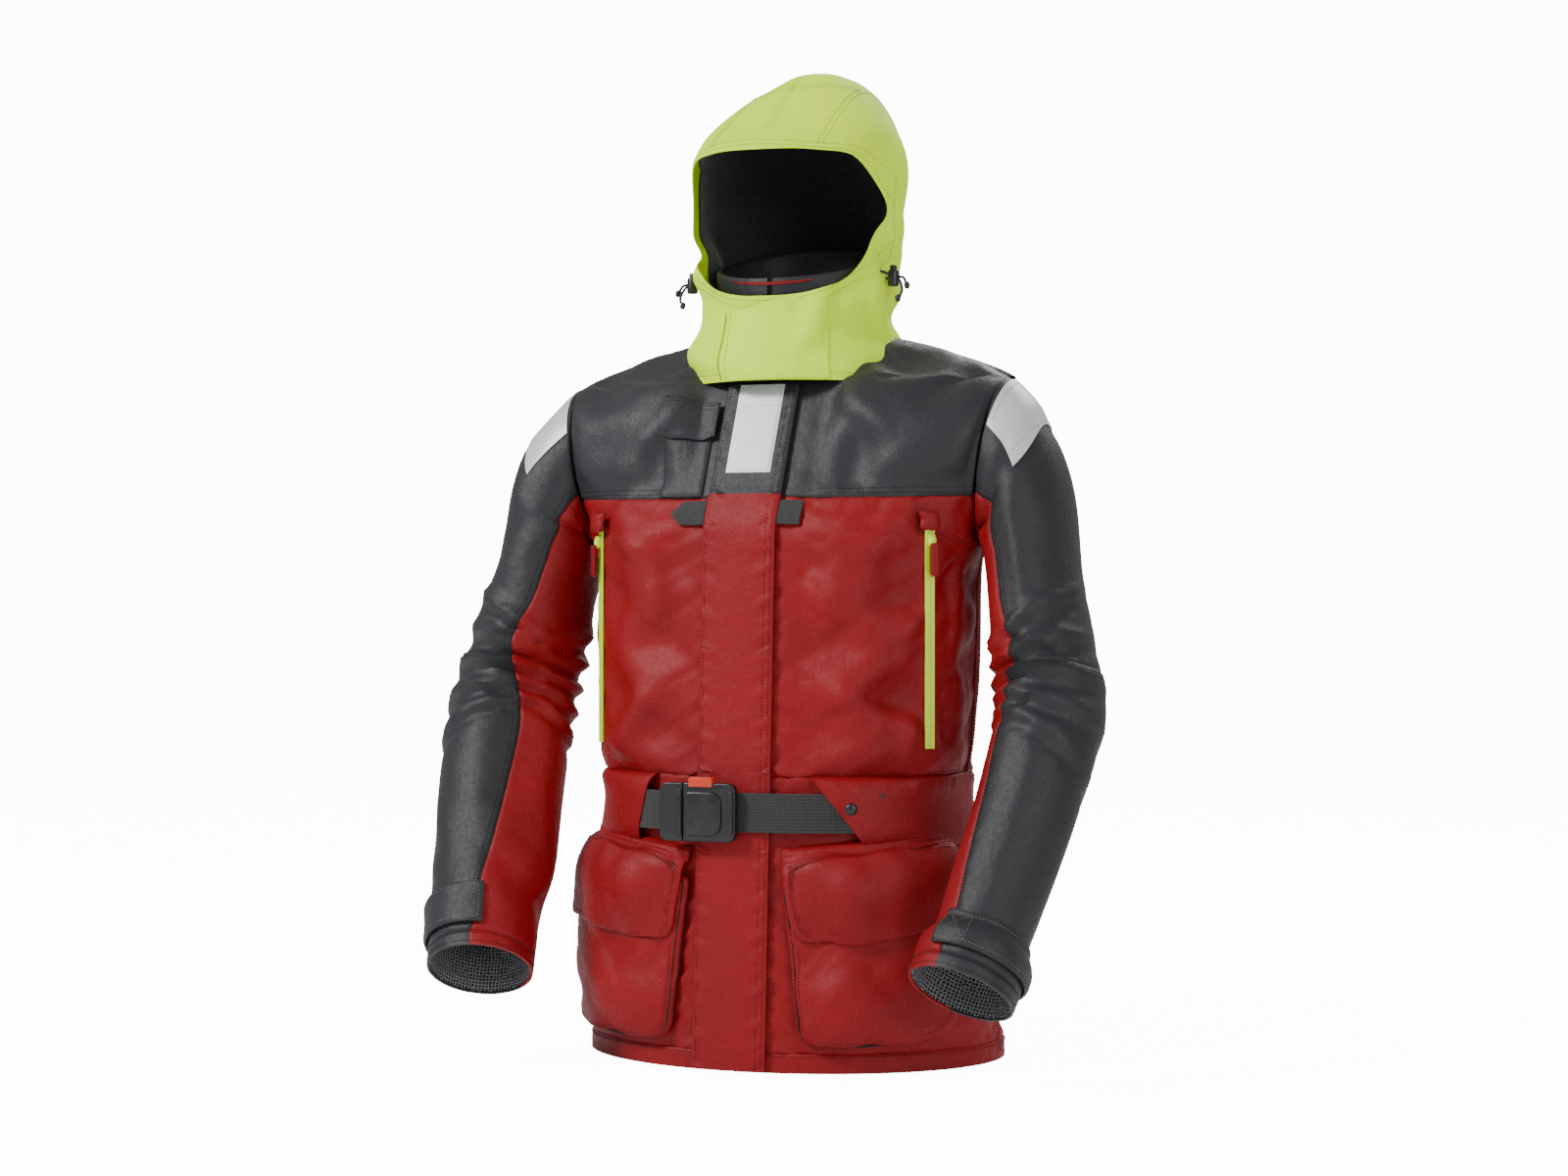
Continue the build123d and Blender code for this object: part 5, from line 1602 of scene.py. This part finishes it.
def build_collar():
    points, normals = collar_place(*np.meshgrid(np.linspace(2, 358, 110), graded(22)))
    points = tucked(points, normals, "t", 1.6, 5.0, 0.5, 71)
    attach(sheet("collar_band", points, normals, 4.5, "dark"), COLLAR_HINGE, "collar")
    angle, across = np.meshgrid(np.linspace(-34, 30, 40), np.linspace(-1, 1, 6))
    share = 0.952 + 0.012 * across * (1.15 - (angle / 34) ** 2) + 0.010 * (angle / 34) ** 2
    points, normals = collar_place(angle, share)
    attach(sheet("collar_zip_garage", points + normals * 0.9, normals, 1.4, "red"), COLLAR_HINGE)


def build_hanger():
    low, high = span("hanger_loop")
    x, z = np.meshgrid(np.linspace(low[0], high[0], 30), np.linspace(low[2], high[2], 8))
    arch = 1 - (x / high[0]) ** 4
    points = np.stack([x, low[1] + 2 + 5 * (1 - arch), z], axis=-1)
    normals = np.broadcast_to(np.array([0.0, -1.0, 0.0]), points.shape)
    attach(sheet("hanger_strap", points, normals, 2.0, "webbing"), "jacket", "hanger_loop")


# ---- hood ---------------------------------------------------------------------------------
HOOD_SEAM_X = 62.0          # of the seams between the centre panel and the side panels
SEAM_HALF_GAP = 2.5
FACE_CUT_BACK = 15.0        # how far back the face opening is cut
CHIN_HINGE = ("hood", "chin_tab", (58, -62, 755), (22, -74.8, 755))
KNOB_PROFILE = [(0.6, -4), (2.6, -3.2), (3.2, 0), (2.6, 3.2), (0.6, 4)]
CAP_PROFILE = [(0.6, -3.6), (3.8, -3.4), (3.9, 2.4), (3.0, 3.8), (0.6, 4.1)]
CORD_LOOP = [(-14, -10, 8), (-5, -7, 5), (0, -1, 1), (8, -2, -3), (12, -6, -14), (8, -8, -22)]
CORD_END = [(-14, 6, 2), (-4, 4, 0), (10, 1, 1), (16, -2, -8)]


def hood_sheet(name, lift, thickness, paint, run_low=0.0):
    """A closed hood before the face opening is cut."""
    angle, run = np.meshgrid(np.linspace(0, 360, 181)[:-1], np.linspace(run_low, HOOD_TOP, 120))
    normals = HEAD.normal(angle, run)
    normals[-1] = (0, 0, 1)
    return sheet(name, HEAD.point(angle, run) + normals * lift, normals, thickness, paint, closed=True)


def face_outline(grow=0.0, steps=14):
    """The face opening's outline as (x, height) pairs, grown outwards."""
    half = np.array(FACE, float)
    knots = np.concatenate([[0], np.cumsum(np.linalg.norm(np.diff(half, axis=0), axis=1))])
    right = curve_through(knots, half, np.linspace(0, knots[-1], steps * 4))
    loop = np.concatenate([right, right[-2:0:-1] * [-1, 1]])
    centre = np.array([0.0, (FACE[0][1] + FACE[-1][1]) / 2])
    return loop + unit(loop - centre) * grow


def cut_face(piece, grow):
    """Cuts the face opening out of a closed hood sheet."""
    outline = [tuple(place) for place in face_outline(grow)]
    cut_through(piece, prism("face_cutter", outline, -250, FACE_CUT_BACK, "lime"))
    piece.data.set_sharp_from_angle(angle=math.radians(50))
    return piece


def build_hood():
    shell = cut_face(hood_sheet("hood_shell", 0.0, 2.0, "lime"), 0.0)
    attach(shell, "hood", "hood_center_panel", "hood_side_panel_left", "hood_side_panel_right")
    lining = cut_face(hood_sheet("hood_fleece", -2.8, 1.6, "fleece", 92.0), 16.0)
    attach(lining, "hood", "hood_lining")
    sew("hood_stitches", hood_seams(), "lime_thread", "hood")


def hood_seams():
    rows = []
    for grow in (5.0, 12.0):
        outline = face_outline(grow)
        outline = np.concatenate([outline, outline[:1]])
        run = hood_run(outline[:, 1])
        rows.append(trail(HEAD, hood_angle(outline[:, 0], run), run, 0.4))
    crest = float(np.interp(-HOOD_SEAM_X, -HOOD[6:, 2], HOOD[6:, 0]))
    up = np.linspace(hood_run(960), crest - 4, 60)
    down = np.linspace(crest - 4, 8, 140)
    for sign in (-1, 1):
        for x in (HOOD_SEAM_X - SEAM_HALF_GAP, HOOD_SEAM_X + SEAM_HALF_GAP):
            rows.append(trail(HEAD, sign * hood_angle(x, up), up, 0.4))
            rows.append(trail(HEAD, sign * (180 - hood_angle(x, down)), down, 0.4))
    rows += [trail(HEAD, np.linspace(-70, 70, 90), hood_run(height), 0.4) for height in (1030, 1034)]
    rows.append(trail(HEAD, np.linspace(0, 360, 200), 8, 0.4))
    return rows


def build_chin_tab():
    """The overlap under the chin: its free edge on the wearer's right lifts, the other end is sewn."""
    high = hood_run(799)
    fraction, share = np.meshgrid(graded(62), graded(26))
    left = -20 - 5 * share
    angle = left + (36 - left) * fraction
    slope = smoothstep((angle + 24) / 40)
    run = 1 + (high - 12 + 12 * slope - 1) * share
    lift = 8.0 - 6.6 * smoothstep((angle + 6) / 36)
    normals = HEAD.normal(angle, run)
    points = tucked(HEAD.lifted(angle, run, lift), normals, "lbt", 0.8, 2.4, 0.3, 73)
    attach(sheet("chin_overlap", points, normals, 2.0, "lime"), CHIN_HINGE, "chin_tab")
    edge = np.linspace(0.04, 0.96, 40)
    run = 1 + (high - 13) * edge
    sew("chin_overlap_stitches", [trail(HEAD, -16.5 - 5 * edge, run, 8.4)], "lime_thread", CHIN_HINGE)
    # Painted shadow line: a close row of thick dark lime stitches along the tab's free edge stands in for the
    # shade under that edge, so that the edge shows.
    border = [trail(HEAD, -20.0 - 5 * edge, run, 8.7)]
    sew("chin_overlap_border", border, "lime_thread", CHIN_HINGE, pitch=1.4, size=1.5)


def build_cords():
    cords = []
    for side, sign in SIDES.items():
        low, high = span(f"cord_lock_barrel_{side}")
        x, y, z = (low + high) / 2
        radius = (high[0] - low[0]) / 2
        for path in (CORD_LOOP, CORD_END):
            points = [(x + sign * out, y + ahead, z + up) for out, ahead, up in path]
            cords.append(cord("cord", points, 1.5, "webbing"))
            cords.append(lathe("knob", KNOB_PROFILE, points[-1], (0.2 * sign, -0.1, -1), "plastic", 16))
        barrel = [(1.0, -9), (radius - 1.2, -8.6), (radius, -7.2), (radius, 6), (radius - 0.8, 8.4),
                  (radius - 1.8, 9)]
        piece = lathe(f"cord_lock_body_{side}", barrel, (x, y, z), (0, 0, 1), "plastic", 26)
        attach(piece, f"cord_lock_{side}", f"cord_lock_barrel_{side}")
        node = f"cord_lock_button_{side}"
        low, high = span(node)
        piece = lathe(f"cord_lock_cap_{side}", CAP_PROFILE, tuple((low + high) / 2), (0, 0, 1), "plastic", 22)
        attach(piece, node, node)
    attach(merge("hood_draw_cords", cords), "hood", "hood_cords")


def paint_cad_nodes():
    """The main zip's sliders keep the CAD's own shapes and only need their finish."""
    for node in ("main_zip_top_slider", "main_zip_bottom_slider"):
        piece = bpy.data.objects[node]
        piece.data.materials.clear()
        piece.data.materials.append(PAINT["zip"])


# ---- stage --------------------------------------------------------------------------------
CAMERA_AZIMUTH = 22.0
CAMERA_DISTANCE = 3.4
CAMERA_HEIGHT = 0.495
CAMERA_LENS = 72.9
CAMERA_SHIFT = 0.006         # of the point looked at, to the camera's left
AMBIENT = 0.46               # light from the surroundings on the jacket
BACKDROP_GLOW = 13.0         # how bright the backdrop and the floor look to the camera
FLOOR_GLOW = 12.6
FLOOR_HALF, FLOOR_DROP = 30.0, 0.004
LIT_HEIGHT = 0.55            # the lamps aim at this height
LAMPS = {                    # place, size, power
    "key": ((-2.1, -2.5, 3.0), (1.0, 1.0), 175),
    "fill": ((2.8, -2.0, 1.5), (1.2, 2.0), 42),
    "rim": ((0.4, 2.6, 2.6), (2.0, 1.2), 60),
}


def aimed(name, data, location, target):
    """An object at a place that looks at a target."""
    item = bpy.data.objects.new(name, data)
    item.location = location
    item.rotation_euler = (target - Vector(location)).to_track_quat("-Z", "Y").to_euler()
    bpy.context.scene.collection.objects.link(item)
    return item


def build_camera():
    turn = math.radians(CAMERA_AZIMUTH)
    right = Vector((math.cos(turn), math.sin(turn), 0))
    target = Vector((0, 0, CAMERA_HEIGHT)) - right * CAMERA_SHIFT
    location = target + Vector((math.sin(turn), -math.cos(turn), 0)) * CAMERA_DISTANCE
    camera = aimed("camera", bpy.data.cameras.new("camera"), location, target)
    camera.data.lens = CAMERA_LENS
    bpy.context.scene.camera = camera


def build_lamps():
    for name, (location, size, power) in LAMPS.items():
        light = bpy.data.lights.new(name, "AREA")
        light.shape = "RECTANGLE"
        light.size, light.size_y = size
        light.energy = power
        aimed(name, light, location, Vector((0, 0, LIT_HEIGHT)))


def build_floor():
    corners = [(x * FLOOR_HALF, y * FLOOR_HALF, -FLOOR_DROP) for x, y in ((-1, -1), (1, -1), (1, 1), (-1, 1))]
    paint = Paint("floor_white")
    paint.set(Base_Color=colour(0.95, 0.95, 0.95), Roughness=0.9)
    seen = paint.node("ShaderNodeLightPath").outputs["Is Camera Ray"]
    glow = paint.math("MULTIPLY", seen, FLOOR_GLOW)
    paint.set(Emission_Color=colour(1.0, 1.0, 1.0), Emission_Strength=glow)
    link("floor", mesh_from("floor", corners, [(0, 1, 2, 3)]), paint.material)


def build_world():
    world = bpy.data.worlds.new("studio")
    world.use_nodes = True
    tree = world.node_tree
    path = tree.nodes.new("ShaderNodeLightPath")
    strength = tree.nodes.new("ShaderNodeMapRange")
    strength.inputs["To Min"].default_value = AMBIENT
    strength.inputs["To Max"].default_value = BACKDROP_GLOW
    tree.links.new(path.outputs["Is Camera Ray"], strength.inputs["Value"])
    tree.links.new(strength.outputs["Result"], tree.nodes["Background"].inputs["Strength"])
    tree.nodes["Background"].inputs["Color"].default_value = colour(1.0, 1.0, 1.0)
    bpy.context.scene.world = world


settle_cloth()
build_body()
build_sleeves()
build_storm_flap()
build_flap_tape()
build_main_zip()
build_belt()
build_buckle()
for side_name, side_sign in SIDES.items():
    build_cargo_pocket(side_name, side_sign)
build_chest_pocket()
build_chest_zips()
build_tabs()
build_shoulder_reflectors()
build_collar()
build_hanger()
build_hood()
build_chin_tab()
build_cords()
paint_cad_nodes()
build_camera()
build_floor()
build_world()
build_lamps()
